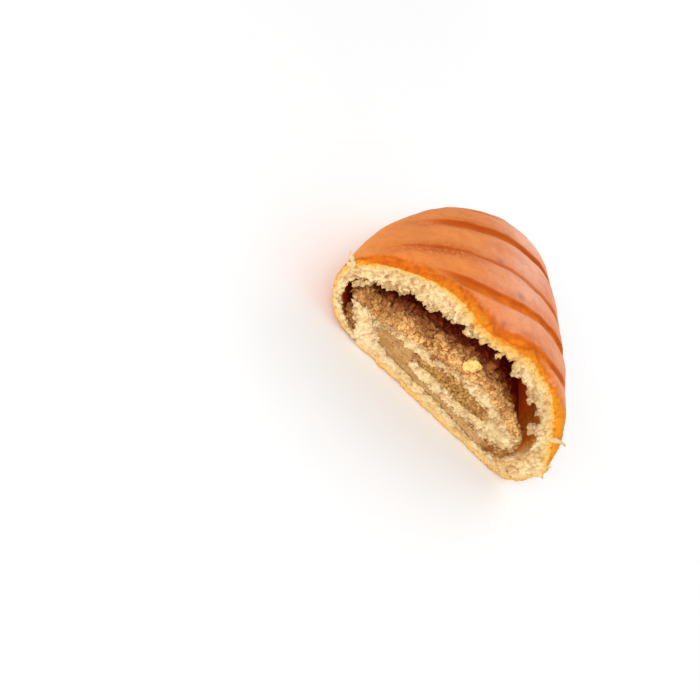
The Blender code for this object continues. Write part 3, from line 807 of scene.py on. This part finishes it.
def lump(around, rows, seed, jag):
    """Closed lump: a ball on a grid of angles whose radius is 1 plus noise of the direction, with its
    triangles."""
    lat = np.linspace(0.0, math.pi, rows + 2)[1:-1, None]
    lon = np.linspace(0.0, 2 * math.pi, around, endpoint=False)[None, :]
    ball = np.stack([np.sin(lat) * np.cos(lon), np.sin(lat) * np.sin(lon), np.cos(lat) + 0 * lon], axis=-1)
    ball = np.vstack([ball.reshape(-1, 3), [[0, 0, 1.0]], [[0, 0, -1.0]]])
    radius = 1 + jag * waves(ball + 1.7 * seed, ((0.8, 1.0), (0.36, 0.6), (0.15, 0.3)), seed)
    index = np.arange(rows * around).reshape(rows, around)
    top, low = rows * around, rows * around + 1
    tris = np.vstack([
        halves(grid_quads(index, closed=True)[:, ::-1]),
        np.column_stack([index[0], np.roll(index[0], -1), np.full(around, top)]),
        np.column_stack([np.roll(index[-1], -1), index[-1], np.full(around, low)]),
    ])
    return ball * radius[:, None], tris


def turned(count, rng):
    """Random rotation matrices from random unit quaternions."""
    q = rng.normal(size=(count, 4))
    w, x, y, z = (q / np.linalg.norm(q, axis=1)[:, None]).T
    return np.stack([
        1 - 2 * (y * y + z * z), 2 * (x * y - z * w), 2 * (x * z + y * w),
        2 * (x * y + z * w), 1 - 2 * (x * x + z * z), 2 * (y * z - x * w),
        2 * (x * z - y * w), 2 * (y * z + x * w), 1 - 2 * (x * x + y * y),
    ], axis=1).reshape(-1, 3, 3)


def uneven(rng, count, spread, least, most):
    """Random sizes round 1 whose logarithms spread as a normal curve, kept between least and most."""
    return rng.lognormal(0.0, spread, count).clip(least, most)


def strew(
    name, spots, sizes, shape, jag, material, rng, tone=None, kinds=7, smooth=False, stretch=None, turns=None,
):
    """One mesh of many lumps: each kind of lump is copied to its share of the spots, turned and
    stretched."""
    if stretch is None:
        stretch = rng.uniform(0.6, 1.4, (len(spots), 3)) * sizes[:, None] / 2
        turns = turned(len(spots), rng)
    shade = rng.random(len(spots))**1.8 if tone is None else tone
    points, tris, tones, base = [], [], [], 0
    for kind in range(kinds):
        ball, faces = lump(*shape, kind + 1, jag)
        mine = slice(kind, None, kinds)
        local = np.einsum("nij,nvj->nvi", turns[mine], ball * stretch[mine][:, None])
        first = base + np.arange(len(local)) * len(ball)
        points.append((local + spots[mine][:, None]).reshape(-1, 3))
        tris.append((faces + first[:, None, None]).reshape(-1, 3))
        tones.append(np.repeat(shade[mine], len(ball)))
        base += len(local) * len(ball)
    points, tone = np.vstack(points), np.concatenate(tones)
    x, y, z = points.T
    # painted shade: the lumps darken with depth into the pocket; low is each lump's random tone turned round
    fields = {
        "tone": tone, "pocket_shade": pocket_shade_ramp(y, 7.5), "crumb": np.ones(len(points)), "low": 1 - tone,
        "baked": 0.35 * bell(x, GOLD_X, GOLD_HALF) * ease(z, 29.0, 31.5),
    }
    return mesh_piece(name, points, np.vstack(tris), material, fields, turn_out=False, smooth=smooth)


def top_spots(count, rng, lift, spread):
    """Random places on the open slope and top of the filling, closer together near the tear, none in the
    hollow."""
    roll, face, on_face = filling_lines()
    along = rng.uniform(3.0, POCKET_END - 4.0, 2 * count)
    y = 0.3 + 36.0 * rng.random(2 * count)**2.1
    along, y = (each[hollow(y, along) < 0.4][:count] for each in (along, y))
    up_slope = ((y - RECESS) / (SLOPE - RECESS)).clip(0.0, 1.0)**(1 / 1.2)
    share = np.where(bare(along) > 0.3, 0.2 + 0.8 * up_slope, rng.random(count))
    y += set_back(along)
    inner, outer = (
        np.column_stack([np.interp(along, on_face, across) for across in line.T]) for line in (roll, face)
    )
    thick = np.linalg.norm(outer - inner, axis=1)
    x, z = (inner + (outer - inner) * share[:, None]).T
    return place(x, z + bare_top(y, along, thick) * (share > 0.99) + rng.normal(lift, spread, count), y)


def make_grains(material, inner_material, count, size):
    """Ground walnut: clumps and fine grains on the open top of the filling, and crumbs on its torn edge."""
    rng = np.random.default_rng(7)
    spots = top_spots(CLUMPS, rng, 0.1, 0.4)
    # Random tone in patches, with painted shade: clumps darken with depth behind the tear and towards the
    # left, so only the front of the slope reads as lit
    tone_and_painted_shade = 0.06 + 0.45 * smoothstep(0.4 + 1.2 * wave(spots / 3.6, 71)) + 0.75 * rng.random(CLUMPS)
    tone_and_painted_shade *= (1 - 0.8 * ease(spots[:, 1], 2.6, 7.1)) * (1 - 0.35 * ease(spots[:, 0], -16.0, -28.0))
    clumps = strew(
        "walnut_clumps", spots, size * uneven(rng, CLUMPS, 0.3, 0.5, 1.5), (10, 7), 0.8, material, rng,
        tone=tone_and_painted_shade.clip(0, 1),
    )
    grains = strew(
        "walnut_grains", top_spots(count, rng, 0.0, 0.25), size * 0.48 * uneven(rng, count, 0.35, 0.4, 2.0),
        (6, 4), 0.6, material, rng, tone=0.15 + 0.5 * rng.random(count),
    )
    roll, face, on_face = filling_lines()
    loose = ((on_face > LOOSE_FROM) & (on_face < PASTE_FROM)) | (on_face > PASTE_TO + 2)
    pick = rng.choice(np.flatnonzero(loose), EDGE_GRAINS)
    share = rng.uniform(0.0, 1.0, EDGE_GRAINS)[:, None]
    flat = roll[pick] + (face - roll)[pick] * share + rng.normal(0.0, 0.2, (EDGE_GRAINS, 2))
    spots = place(*flat.T, 0.0)
    spots[:, 1] += RECESS + 1.2 * (on_face[pick] < PASTE_TO) + rng.uniform(-0.5, 0.5, EDGE_GRAINS)
    edge = strew(
        "walnut_edge_grains", spots, size * 0.52 * uneven(rng, EDGE_GRAINS, 0.35, 0.5, 1.4), (7, 4), 0.6,
        inner_material, rng, tone=0.15 + 0.6 * rng.random(EDGE_GRAINS),
    )
    for obj in (clumps, grains, edge):
        dress(obj, "walnut_filling")


def make_nut_pieces(material):
    """The largest pieces of walnut, craggy and paler."""
    spec = np.array(NUT_PIECES)
    rng = np.random.default_rng(5)
    obj = strew(
        "walnut_pieces", spec[:, :3], spec[:, 3], (36, 22), 0.55, material, rng, tone=spec[:, 4], kinds=2,
    )
    dress(obj, "walnut_filling")


def make_crumbs(material, fallen_material, count):
    """Loose crumb on the lip of the tear, tufts that hang there, torn shreds, and fallen crumb in the
    left slot."""
    rng = np.random.default_rng(19)
    skin = bpy.data.objects["dough_skin"].data
    points, stain = np.empty(3 * len(skin.vertices)), np.empty(len(skin.vertices), np.float32)
    skin.vertices.foreach_get("co", points)
    skin.attributes["stain"].data.foreach_get("value", stain)
    points = points.reshape(-1, 3) / MM + (0.0, LENGTH / 2, 0.0)
    x, y, z = points.T
    clear = (x < 30.0) | (z > 20.0)
    pick = rng.choice(np.flatnonzero((stain > 0.1) & (stain < 0.5) & (y < 3.0) & clear), count)
    spots = points[pick] - 0.05 * outward_normals(skin)[pick]
    sizes = 0.6 * uneven(rng, count, 0.35, 0.5, 2.2)
    bits = strew("crumb_bits", spots, sizes, (7, 5), 0.8, material, rng, smooth=True)

    lip = smooth_line(WRAP_INNER)
    lip = lip[(lip[:, 1] > 13.0) & (np.abs(lip[:, 0]) < 38.0)]
    more = lip[rng.choice(len(lip), LIP_TUFTS)] - (0.0, 1.0)
    spec = np.vstack([TUFTS, np.column_stack([more, rng.uniform(1.0, 1.9, LIP_TUFTS)])])
    which = np.repeat(np.arange(len(spec)), TUFT_LUMPS)
    down = np.tile(np.linspace(-0.4, 0.7, TUFT_LUMPS), len(spec))
    lean = rng.normal(0.0, 0.4, (len(spec), 2))[which]
    drift = np.column_stack([lean[:, 0] * down, 0.6 * lean[:, 1] * down, -down])
    drift += rng.normal(0.0, 0.2, (len(which), 3))
    spots = place(spec[which, 0], spec[which, 1] + 0.7, 0.0) + drift * spec[which, 2:] + (0.0, 0.8, 0.0)
    sizes = spec[which, 2] * (0.75 - 0.3 * down) * uneven(rng, len(which), 0.4, 0.5, 1.6)
    tufts = strew("crumb_tufts", spots, sizes, (14, 9), 0.9, material, rng, smooth=True)

    shreds = np.array(SHREDS)
    angle, length, width = shreds[:, 3:].T
    cos, sin, zero = np.cos(np.radians(angle)), np.sin(np.radians(angle)), np.zeros(len(angle))
    turns = np.stack([cos, zero, -sin, zero, zero + 1, zero, sin, zero, cos], axis=1).reshape(-1, 3, 3)
    shreds = strew(
        "crumb_shreds", shreds[:, :3], length, (24, 14), 0.4, material, rng, kinds=4, smooth=True,
        tone=0.7 + 0.3 * rng.random(len(angle)), turns=turns,
        stretch=np.column_stack([length, zero + SHRED_THICK, width]) / 2,
    )

    flat = resample(SLOT_CRUMBS, 0.1)
    flat = flat[rng.integers(0, len(flat), FALLEN_CRUMBS)] + rng.normal(0.0, 0.3, (FALLEN_CRUMBS, 2)) + 0.3
    spots = place(*flat.T, 0.0)
    spots[:, 1] += rng.uniform(0.4, 3.4, FALLEN_CRUMBS)
    fallen = strew(
        "crumb_fallen", spots, rng.uniform(0.5, 1.4, FALLEN_CRUMBS), (9, 6), 0.8, fallen_material, rng,
        smooth=True, tone=rng.random(FALLEN_CRUMBS),
    )
    for obj in (bits, tufts, shreds, fallen):
        dress(obj, "dough")


# --- finishes -------------------------------------------------------------------------------------------


def srgb(red, green, blue):
    """Linear colour from screen values of 0 to 255."""
    shares = (red / 255, green / 255, blue / 255)
    return tuple(c / 12.92 if c <= 0.04 else ((c + 0.055) / 1.055)**2.4 for c in shares)


class Nodes:
    """Short way to lay out a node material: every call adds a node and gives back its output."""

    def __init__(self, name):
        self.material = bpy.data.materials.new(name)
        self.material.use_nodes = True
        self.tree = self.material.node_tree
        self.place = self.tree.nodes.new("ShaderNodeTexCoord").outputs["Object"]

    def link(self, source, socket):
        if isinstance(source, bpy.types.NodeSocket):
            self.tree.links.new(source, socket)
        else:
            socket.default_value = source

    def add(self, kind, output, inputs, **settings):
        """One output of a new node, after its settings are made and its inputs linked or set."""
        node = self.tree.nodes.new("ShaderNode" + kind)
        for setting, value in settings.items():
            setattr(node, setting, value)
        for socket, source in inputs.items():
            self.link(source, node.inputs[socket])
        return node.outputs[output]

    def finish(self, colour, roughness, **others):
        """Set the surface, each input by its name with _ for a space, and give the material."""
        others |= {"Base_Color": colour, "Roughness": roughness}
        for socket, source in others.items():
            self.link(source, self.tree.nodes["Principled BSDF"].inputs[socket.replace("_", " ")])
        return self.material

    def field(self, name):
        """The number that the mesh carries under this name."""
        return self.add("Attribute", "Fac", {}, attribute_name=name)

    def place_on(self, axis):
        """Where a point lies on an axis, in metres."""
        return self.add("SeparateXYZ", axis, {0: self.place})

    def along(self, axis, low, high):
        """0 to 1 between two places on an axis, in millimetres. High may be the smaller."""
        return self.ramp(self.place_on(axis), low * MM, high * MM)

    def noise(self, size, detail=2.0, roughness=0.5, distortion=0.0, stretch=None):
        """Noise whose features are about size millimetres wide, longer along an axis whose stretch is
        under 1."""
        place = self.place
        if stretch:
            place = self.add("VectorMath", "Vector", {0: place, 1: stretch}, operation="MULTIPLY")
        return self.add("TexNoise", "Fac", {
            "Vector": place, "Scale": 1 / (size * MM), "Detail": detail, "Roughness": roughness,
            "Distortion": distortion,
        })

    def mottle(self, low, high, *noise, **stretch):
        """Patches: 0 where the noise is under low, 1 where it is over high."""
        return self.ramp(self.noise(*noise, **stretch), low, high)

    def cells(self, size):
        """Cell noise with one cell to about size millimetres: the distance to the nearest seed."""
        return self.add("TexVoronoi", "Distance", {"Vector": self.place, "Scale": 1 / (size * MM)})

    def bump(self, height, strength, distance):
        """Normals of a surface raised by height times a distance in millimetres."""
        return self.add("Bump", "Normal", {"Strength": strength, "Distance": distance * MM, "Height": height})

    def ramp(self, value, low, high):
        """0 at low and 1 at high, eased between. High may be the smaller."""
        ends = {"To Min": 0.0, "To Max": 1.0} if low < high else {"To Min": 1.0, "To Max": 0.0}
        inputs = {"Value": value, "From Min": min(low, high), "From Max": max(low, high), **ends}
        return self.add("MapRange", "Result", inputs, interpolation_type="SMOOTHSTEP")

    def maths(self, operation, a, b):
        return self.add("Math", "Value", {0: a, 1: b}, operation=operation)

    def times(self, a, b):
        return self.maths("MULTIPLY", a, b)

    def plus(self, a, b):
        return self.maths("ADD", a, b)

    def shaken(self, value, by, *noise):
        """A value moved up and down by up to about half of by, with noise."""
        return self.plus(value, self.times(self.maths("SUBTRACT", self.noise(*noise), 0.5), by))

    def mix(self, share, a, b):
        """Colour a where share is 0, colour b where it is 1, either as screen values or linked."""
        a, b = ((*srgb(*each), 1.0) if isinstance(each, tuple) else each for each in (a, b))
        return self.add("Mix", 2, {"Factor": share, 6: a, 7: b}, data_type="RGBA")

    def coats(self, colour, *layers):
        """A colour under layers laid over it in turn, each the place it covers, its strength and its
        colour."""
        for covers, strength, over in layers:
            colour = self.mix(covers if strength == 1 else self.times(covers, strength), colour, over)
        return colour


def crumb_colour(n):
    """Pale cream crumb with painted shade in its pores, in the fold and where it lies low in its relief,
    golden towards the crust, stained brown where the filling has lain on it, and with painted shade far into
    the pocket, painted lighter on the lit right wall."""
    baked = n.times(n.shaken(n.field("baked"), 0.9, 1.6, 5, 0.7), n.ramp(n.field("baked"), 0.02, 0.2))
    # painted shade: greyer mottled patches in the fold of the inner turns
    fold_shade = n.times(n.times(n.along("X", 12, 20), n.along("X", 33, 29)), n.mottle(0.4, 0.6, 4, 4, 0.65))
    base_left = n.times(n.along("X", -4, -16), n.along("Z", 10, 6))
    specks = n.times(n.mottle(0.52, 0.64, 1.1, 5, 0.7, 1.5), n.ramp(n.field("baked"), 0.1, 0.35))
    base_right = n.times(n.along("X", 28, 40), n.along("Z", 9, 3))
    # Stained walls far into the pocket, with painted shade darkest on the left and painted light brighter
    # towards the lit right wall
    walls = n.coats(
        (176, 52, 10),
        (n.along("X", -10, 22), 1, (242, 90, 22)),
        (n.along("X", 28, 36), 1, (255, 116, 30)),
    )
    stained = n.coats(
        (255, 164, 58),
        (n.mottle(0.4, 0.62, 1.8, 4, 0.65), 1, (246, 132, 32)),
        # painted shade far into the pocket
        (n.field("pocket_shade"), 1, walls),
    )
    return n.coats(
        (250, 226, 176),
        (n.mottle(0.35, 0.65, 2.4, 4, 0.6), 1, (242, 208, 148)),
        (n.mottle(0.46, 0.62, 6, 3, 0.6), 0.6, (226, 194, 142)),
        (n.mottle(0.48, 0.66, 0.8, 4, 0.65), 0.55, (212, 168, 108)),
        # painted shade in the pores of the crumb
        (n.ramp(n.cells(1.5), 0.26, 0.08), 0.6, (172, 120, 66)),
        # painted shade in the fold
        (fold_shade, 0.55, (196, 166, 120)),
        # painted shade where the crumb lies low in its relief; on loose lumps this field is their random tone
        # instead
        (n.field("low"), 0.85, (190, 142, 86)),
        (base_left, 0.3, (252, 230, 188)),
        (n.ramp(baked, 0.12, 0.45), 1, (240, 194, 112)),
        (n.ramp(baked, 0.46, 0.84), 1, (232, 152, 44)),
        (n.ramp(baked, 0.75, 1.0), 1, (218, 118, 16)),
        (specks, 0.5, (180, 100, 32)),
        (n.times(base_right, n.mottle(0.46, 0.6, 1.3, 5, 0.7, 1.0)), 0.65, (170, 98, 34)),
        (n.ramp(n.field("stain"), 0.0, 0.5), 1, (216, 162, 98)),
        (n.ramp(n.field("stain"), 0.4, 1.0), 1, stained),
    )


def crust_colour(n):
    """Browned lobes, mottled and painted pinker as sheen where the glaze lies, with bare floors in the scores,
    a painted shadow under the edge of each cut, weak ends and a golden torn rim."""
    near_base = n.ramp(n.shaken(n.place_on("Z"), 6 * MM, 2.5, 4, 0.6), 4 * MM, 0.5 * MM)
    pores = n.times(n.ramp(n.cells(2.6), 0.13, 0.05), n.mottle(0.46, 0.6, 6))
    lobes = n.coats(
        (222, 122, 54),
        (n.mottle(0.35, 0.68, 15, 3), 1, (230, 132, 62)),
        # painted sheen: the glazed top and right lobes are painted pinker
        (n.field("glaze"), 1, (232, 146, 92)),
        (n.mottle(0.48, 0.66, 7, 4, 0.6), 0.55, (204, 106, 58)),
        (n.field("pale"), 0.75, (250, 168, 76)),
        (near_base, 0.8, (226, 172, 104)),
        (n.mottle(0.46, 0.68, 3.2, 5, 0.65), 0.4, (214, 108, 46)),
        (n.mottle(0.48, 0.7, 0.6, 3), 0.3, (194, 96, 44)),
        (n.maths("MAXIMUM", n.times(pores, 0.7), n.field("spots")), 0.62, (122, 74, 66)),
        (n.times(n.field("ends"), n.mottle(0.34, 0.54, 1.1, 4, 0.7)), 1, (196, 92, 22)),
    )
    floor = n.coats(
        (238, 132, 10),
        (n.mottle(0.38, 0.62, 5, 3), 1, (218, 106, 10)),
        (n.mottle(0.4, 0.7, 1.2, 4, 0.6), 0.35, (190, 80, 8)),
        (n.along("X", -2, -20), 0.7, (188, 80, 12)),
        (n.along("Y", -1, 5), 0.65, (194, 94, 18)),
    )
    rim = n.shaken(n.field("rim"), 0.8, 1.8, 4, 0.65)
    gold = n.coats(
        (192, 80, 2),
        (n.mottle(0.3, 0.7, 2.2, 4, 0.6), 1, (216, 112, 8)),
        (n.along("X", 2, 42), 1, (232, 146, 26)),
        (n.field("floor"), 0.5, (184, 80, 8)),
        (n.mottle(0.54, 0.68, 0.5, 3, 0.6, stretch=(1.0, 0.22, 1.0)), 0.4, (176, 80, 10)),
        (n.times(n.ramp(rim, 0.75, 1.2), n.along("X", -44, -8)), 0.7, (236, 154, 32)),
    )
    return n.coats(
        lobes,
        (n.field("floor"), 1, floor),
        (n.ramp(rim, 0.15, 0.85), 1, gold),
        # painted shadow under the edge of each cut
        (n.field("edge"), 0.62, (164, 66, 14)),
    )


def baked_dough():
    """Browned crust with a thin egg glaze, matt where the scores and the tear bare it, and pale porous
    crumb. The thin walls of the pocket let some of the light through."""
    n = Nodes("baked_dough")
    crumb, rim = n.field("crumb"), n.field("rim")
    plain = n.maths("MAXIMUM", n.maths("MAXIMUM", crumb, rim), n.field("floor"))
    fine = n.plus(n.noise(0.5, 4, 0.6), n.times(n.ramp(n.cells(1.1), 0.05, 0.4), 0.7))
    relief = n.plus(n.times(n.maths("MAXIMUM", crumb, n.times(rim, 0.6)), 0.6), 0.1)
    return n.finish(
        n.mix(crumb, crust_colour(n), crumb_colour(n)), 0.75,
        Specular_IOR_Level=0.15,
        Coat_Weight=n.times(n.maths("SUBTRACT", 1.0, plain), n.field("glaze")),
        Coat_Roughness=0.55,
        Normal=n.bump(n.times(fine, relief), 0.7, 0.5),
        Subsurface_Weight=n.plus(n.times(n.field("stain"), 0.7), 0.06),
        Subsurface_Radius=(1.0, 0.3, 0.12),
        Subsurface_Scale=0.0045,
    )


def loose_crumb():
    """Crumb that has come loose on the tear."""
    n = Nodes("loose_crumb")
    return n.finish(crumb_colour(n), 0.92, Normal=n.bump(n.noise(0.4, 4, 0.6), 0.7, 0.4))


def ground_walnut():
    """Matt crumbly filling, and smooth paste where it was pressed between the turns."""
    n = Nodes("ground_walnut")
    loose = n.coats(
        (184, 122, 64),
        (n.mottle(0.36, 0.64, 2.2, 4, 0.6), 1, (142, 82, 34)),
        (n.mottle(0.52, 0.72, 0.6, 4, 0.6), 1, (110, 56, 20)),
        # painted shade far into the pocket
        (n.field("pocket_shade"), 1, (128, 44, 8)),
    )
    paste = n.coats(
        (178, 130, 73),
        (n.along("X", -24, 30), 1, (204, 156, 100)),
        (n.mottle(0.35, 0.65, 2.5, 3), 0.4, (176, 128, 72)),
        (n.mottle(0.42, 0.62, 1.4, 4, 0.65, stretch=(0.3, 1.0, 1.0)), 0.5, (214, 170, 112)),
        (n.mottle(0.46, 0.64, 0.8, 3, 0.6), 0.5, (156, 104, 56)),
        (n.ramp(n.cells(2.0), 0.17, 0.06), 1, (116, 64, 34)),
    )
    grain = n.plus(n.noise(0.6, 4, 0.6), n.times(n.noise(0.25, 2), 0.4))
    colour = n.mix(n.field("paste"), loose, paste)
    return n.finish(colour, 0.85, Specular_IOR_Level=0.15, Normal=n.bump(grain, 0.6, 0.35))


def walnut_grain(name, pale, dark, skin):
    """Walnut grains, each of its own tone, with darker skin on parts of them and painted shade far into the
    pocket."""
    n = Nodes(name)
    colour = n.coats(
        dark,
        (n.field("tone"), 1, pale),
        (n.mottle(0.46, 0.72, 0.7, 3, 0.6), 1, skin),
        # painted shade far into the pocket
        (n.field("pocket_shade"), 1, (112, 30, 3)),
    )
    return n.finish(colour, 0.75, Specular_IOR_Level=0.15, Normal=n.bump(n.noise(0.4, 3), 0.4, 0.2))


# --- stage ----------------------------------------------------------------------------------------------

# The camera turns round a point in the loaf by azimuth and elevation, is rolled, and is then aimed aside so
# that the loaf stands where it does in the frame. Angles are degrees, lengths millimetres.
AZIMUTH, ELEVATION, ROLL, DISTANCE = -25.572, 28.399, 57.999, 302.04
TARGET, ASIDE_PIXELS = (0.0, 26.032, 18.763), (120.96, -31.19)
FOCAL_PIXELS, FRAME_PIXELS = 955.003, 700
FLOOR_SIDES, FLOOR_RADIUS = 96, 1600.0
LIGHTS = (                                      # name, place, side in metres and share of the power
    ("front", (-300, -580, 440), 0.4, 0.96),
    ("low_left", (-430, -520, 190), 0.3, 0.46),
    ("back_right", (420, 560, 330), 0.75, 1.15),
)


def camera_matrix():
    """Camera place and turn: a frame of right, down and forward is built from azimuth, elevation and
    roll, then turned so that the target falls at the given pixels from the middle of the frame."""
    azimuth, elevation, roll = (math.radians(angle) for angle in (AZIMUTH, ELEVATION, ROLL))
    back = np.array([
        math.sin(azimuth) * math.cos(elevation), -math.cos(azimuth) * math.cos(elevation), math.sin(elevation),
    ])
    spot = TARGET + back * DISTANCE
    level = np.cross(-back, (0, 0, 1.0))
    level /= np.linalg.norm(level)
    up = np.cross(level, -back)
    right = math.cos(roll) * level + math.sin(roll) * up
    down = math.sin(roll) * level - math.cos(roll) * up
    ray = np.array([*ASIDE_PIXELS, FOCAL_PIXELS])
    ray /= np.linalg.norm(ray)
    axis = np.cross((0, 0, 1.0), ray)
    skew = np.array([[0, -axis[2], axis[1]], [axis[2], 0, -axis[0]], [-axis[1], axis[0], 0]])
    turn = np.eye(3) + skew + skew @ skew / (1 + ray[2])
    matrix = np.eye(4)
    matrix[:3, :3] = np.column_stack([right, down, -back]) @ turn.T * (1, -1, -1)
    matrix[:3, 3] = (spot - (0.0, LENGTH / 2, 0.0)) * MM
    return Matrix(matrix.tolist())


def add_camera():
    data = bpy.data.cameras.new("camera")
    data.sensor_width = 36.0
    data.lens = FOCAL_PIXELS / FRAME_PIXELS * data.sensor_width
    data.clip_start = 0.01
    camera = bpy.data.objects.new("camera", data)
    bpy.context.scene.collection.objects.link(camera)
    camera.matrix_world = camera_matrix()
    bpy.context.scene.camera = camera


def add_light(name, spot, size, power):
    """Square soft light, spot in millimetres, that looks at the loaf."""
    data = bpy.data.lights.new(name, "AREA")
    data.size = size
    data.energy = power
    light = bpy.data.objects.new(name, data)
    light.location = Vector(spot) * MM
    light.rotation_euler = (Vector((0, 0, 0.015)) - light.location).to_track_quat("-Z", "Y").to_euler()
    light.visible_camera = False
    bpy.context.scene.collection.objects.link(light)


def add_floor(colour):
    """Flat disc of pale board, a triangle from each stretch of its edge to its middle."""
    n = Nodes("pale_floor")
    darker, pale = (*(0.98 * c for c in colour), 1.0), (*colour, 1.0)
    shades = n.add("Mix", 2, {"Factor": n.noise(40, 2), 6: darker, 7: pale}, data_type="RGBA")
    angle = np.linspace(0.0, 2 * math.pi, FLOOR_SIDES, endpoint=False)
    rim = np.stack([np.cos(angle), np.sin(angle), 0 * angle], axis=1) * FLOOR_RADIUS
    points = np.vstack([rim, [[0.0, 0.0, 0.0]]]) + (0.0, LENGTH / 2, 0.0)
    ring = np.arange(FLOOR_SIDES)
    tris = np.column_stack([ring, np.roll(ring, -1), np.full(FLOOR_SIDES, FLOOR_SIDES)])
    mesh_piece("floor", points, tris, n.finish(shades, 0.7), turn_out=False)


# --- add-on ---------------------------------------------------------------------------------------------


class StrudelShape(bpy.types.PropertyGroup):
    crumb_roughness: bpy.props.FloatProperty(
        name="Crumb roughness", description="How far the torn crumb stands up and sinks",
        default=1.0, min=0.0, max=2.0, subtype="FACTOR",
    )
    grain_size: bpy.props.FloatProperty(
        name="Grain size", description="Middle size of the ground walnut",
        default=0.0019, unit="LENGTH", subtype="DISTANCE",
    )
    grain_count: bpy.props.IntProperty(
        name="Grains", description="Fine grains on the open top of the filling", default=2400,
    )
    crumb_count: bpy.props.IntProperty(
        name="Crumbs", description="Loose crumbs on the torn dough", default=900,
    )


class StrudelStage(bpy.types.PropertyGroup):
    floor_colour: bpy.props.FloatVectorProperty(
        name="Floor", description="Colour of the floor", default=(0.97, 0.97, 0.97), size=3, subtype="COLOR",
    )
    surroundings: bpy.props.FloatProperty(
        name="Surroundings", description="Brightness of the white surroundings", default=0.66, min=0.0,
    )
    light_power: bpy.props.FloatProperty(
        name="Lights", description="Power of the soft lights", default=2.4, unit="POWER", min=0.0,
    )


class STRUDEL_OT_dough(bpy.types.Operator):
    """Crust, torn crumb and the walls between the turns of dough, as one skin"""
    bl_idname = "strudel.dough"
    bl_label = "Dough"

    def execute(self, context):
        make_dough(baked_dough(), context.scene.strudel_shape.crumb_roughness)
        return {"FINISHED"}


class STRUDEL_OT_filling(bpy.types.Operator):
    """Body of the walnut filling"""
    bl_idname = "strudel.filling"
    bl_label = "Filling"

    def execute(self, context):
        make_filling(ground_walnut())
        return {"FINISHED"}


class STRUDEL_OT_grains(bpy.types.Operator):
    """Ground walnut and the largest pieces of it"""
    bl_idname = "strudel.grains"
    bl_label = "Walnut grains"

    def execute(self, context):
        shape = context.scene.strudel_shape
        grain = walnut_grain("walnut_grain", (244, 190, 116), (146, 78, 28), (132, 68, 24))
        inner = walnut_grain("walnut_inner_grain", (232, 184, 106), (142, 84, 34), (130, 74, 28))
        make_grains(grain, inner, shape.grain_count, shape.grain_size / MM)
        make_nut_pieces(walnut_grain("walnut_piece", (255, 218, 134), (176, 104, 44), (228, 156, 70)))
        return {"FINISHED"}


class STRUDEL_OT_crumbs(bpy.types.Operator):
    """Loose crumbs and hanging tufts on the tear"""
    bl_idname = "strudel.crumbs"
    bl_label = "Crumbs"

    def execute(self, context):
        if "dough_skin" not in bpy.data.objects:
            raise RuntimeError("make the dough first")
        fallen = walnut_grain("fallen_crumb", (214, 154, 88), (130, 74, 34), (104, 54, 24))
        make_crumbs(loose_crumb(), fallen, context.scene.strudel_shape.crumb_count)
        return {"FINISHED"}


class STRUDEL_OT_stage(bpy.types.Operator):
    """Pale floor, white surroundings, soft lights and the camera"""
    bl_idname = "strudel.stage"
    bl_label = "Stage"

    def execute(self, context):
        stage = context.scene.strudel_stage
        add_floor(stage.floor_colour)
        world = bpy.data.worlds.new("studio")
        world.use_nodes = True
        background = world.node_tree.nodes["Background"]
        background.inputs["Color"].default_value = (1.0, 1.0, 1.0, 1.0)
        background.inputs["Strength"].default_value = stage.surroundings
        context.scene.world = world
        for name, spot, size, share in LIGHTS:
            add_light(name, spot, size, share * stage.light_power)
        context.scene.view_settings.view_transform = "Standard"
        add_camera()
        return {"FINISHED"}


class STRUDEL_PT_sidebar(bpy.types.Panel):
    """Makes the strudel piece by piece"""
    bl_label = "Walnut strudel"
    bl_space_type = "VIEW_3D"
    bl_region_type = "UI"
    bl_category = "Strudel"

    def draw(self, context):
        for group in (context.scene.strudel_shape, context.scene.strudel_stage):
            for name in group.bl_rna.properties.keys():
                if name not in ("name", "rna_type"):
                    self.layout.prop(group, name)
        for operator in OPERATORS:
            self.layout.operator(operator.bl_idname)


OPERATORS = (STRUDEL_OT_dough, STRUDEL_OT_filling, STRUDEL_OT_grains, STRUDEL_OT_crumbs, STRUDEL_OT_stage)
CLASSES = (StrudelShape, StrudelStage, *OPERATORS, STRUDEL_PT_sidebar)


def register():
    for each in CLASSES:
        bpy.utils.register_class(each)
    bpy.types.Scene.strudel_shape = bpy.props.PointerProperty(type=StrudelShape)
    bpy.types.Scene.strudel_stage = bpy.props.PointerProperty(type=StrudelStage)


def unregister():
    del bpy.types.Scene.strudel_shape, bpy.types.Scene.strudel_stage
    for each in reversed(CLASSES):
        bpy.utils.unregister_class(each)


def main():
    register()
    for operator in OPERATORS:
        group, name = operator.bl_idname.split(".")
        if getattr(getattr(bpy.ops, group), name)() != {"FINISHED"}:
            raise RuntimeError(f"{operator.bl_label} was not made")


if __name__ == "__main__":
    main()
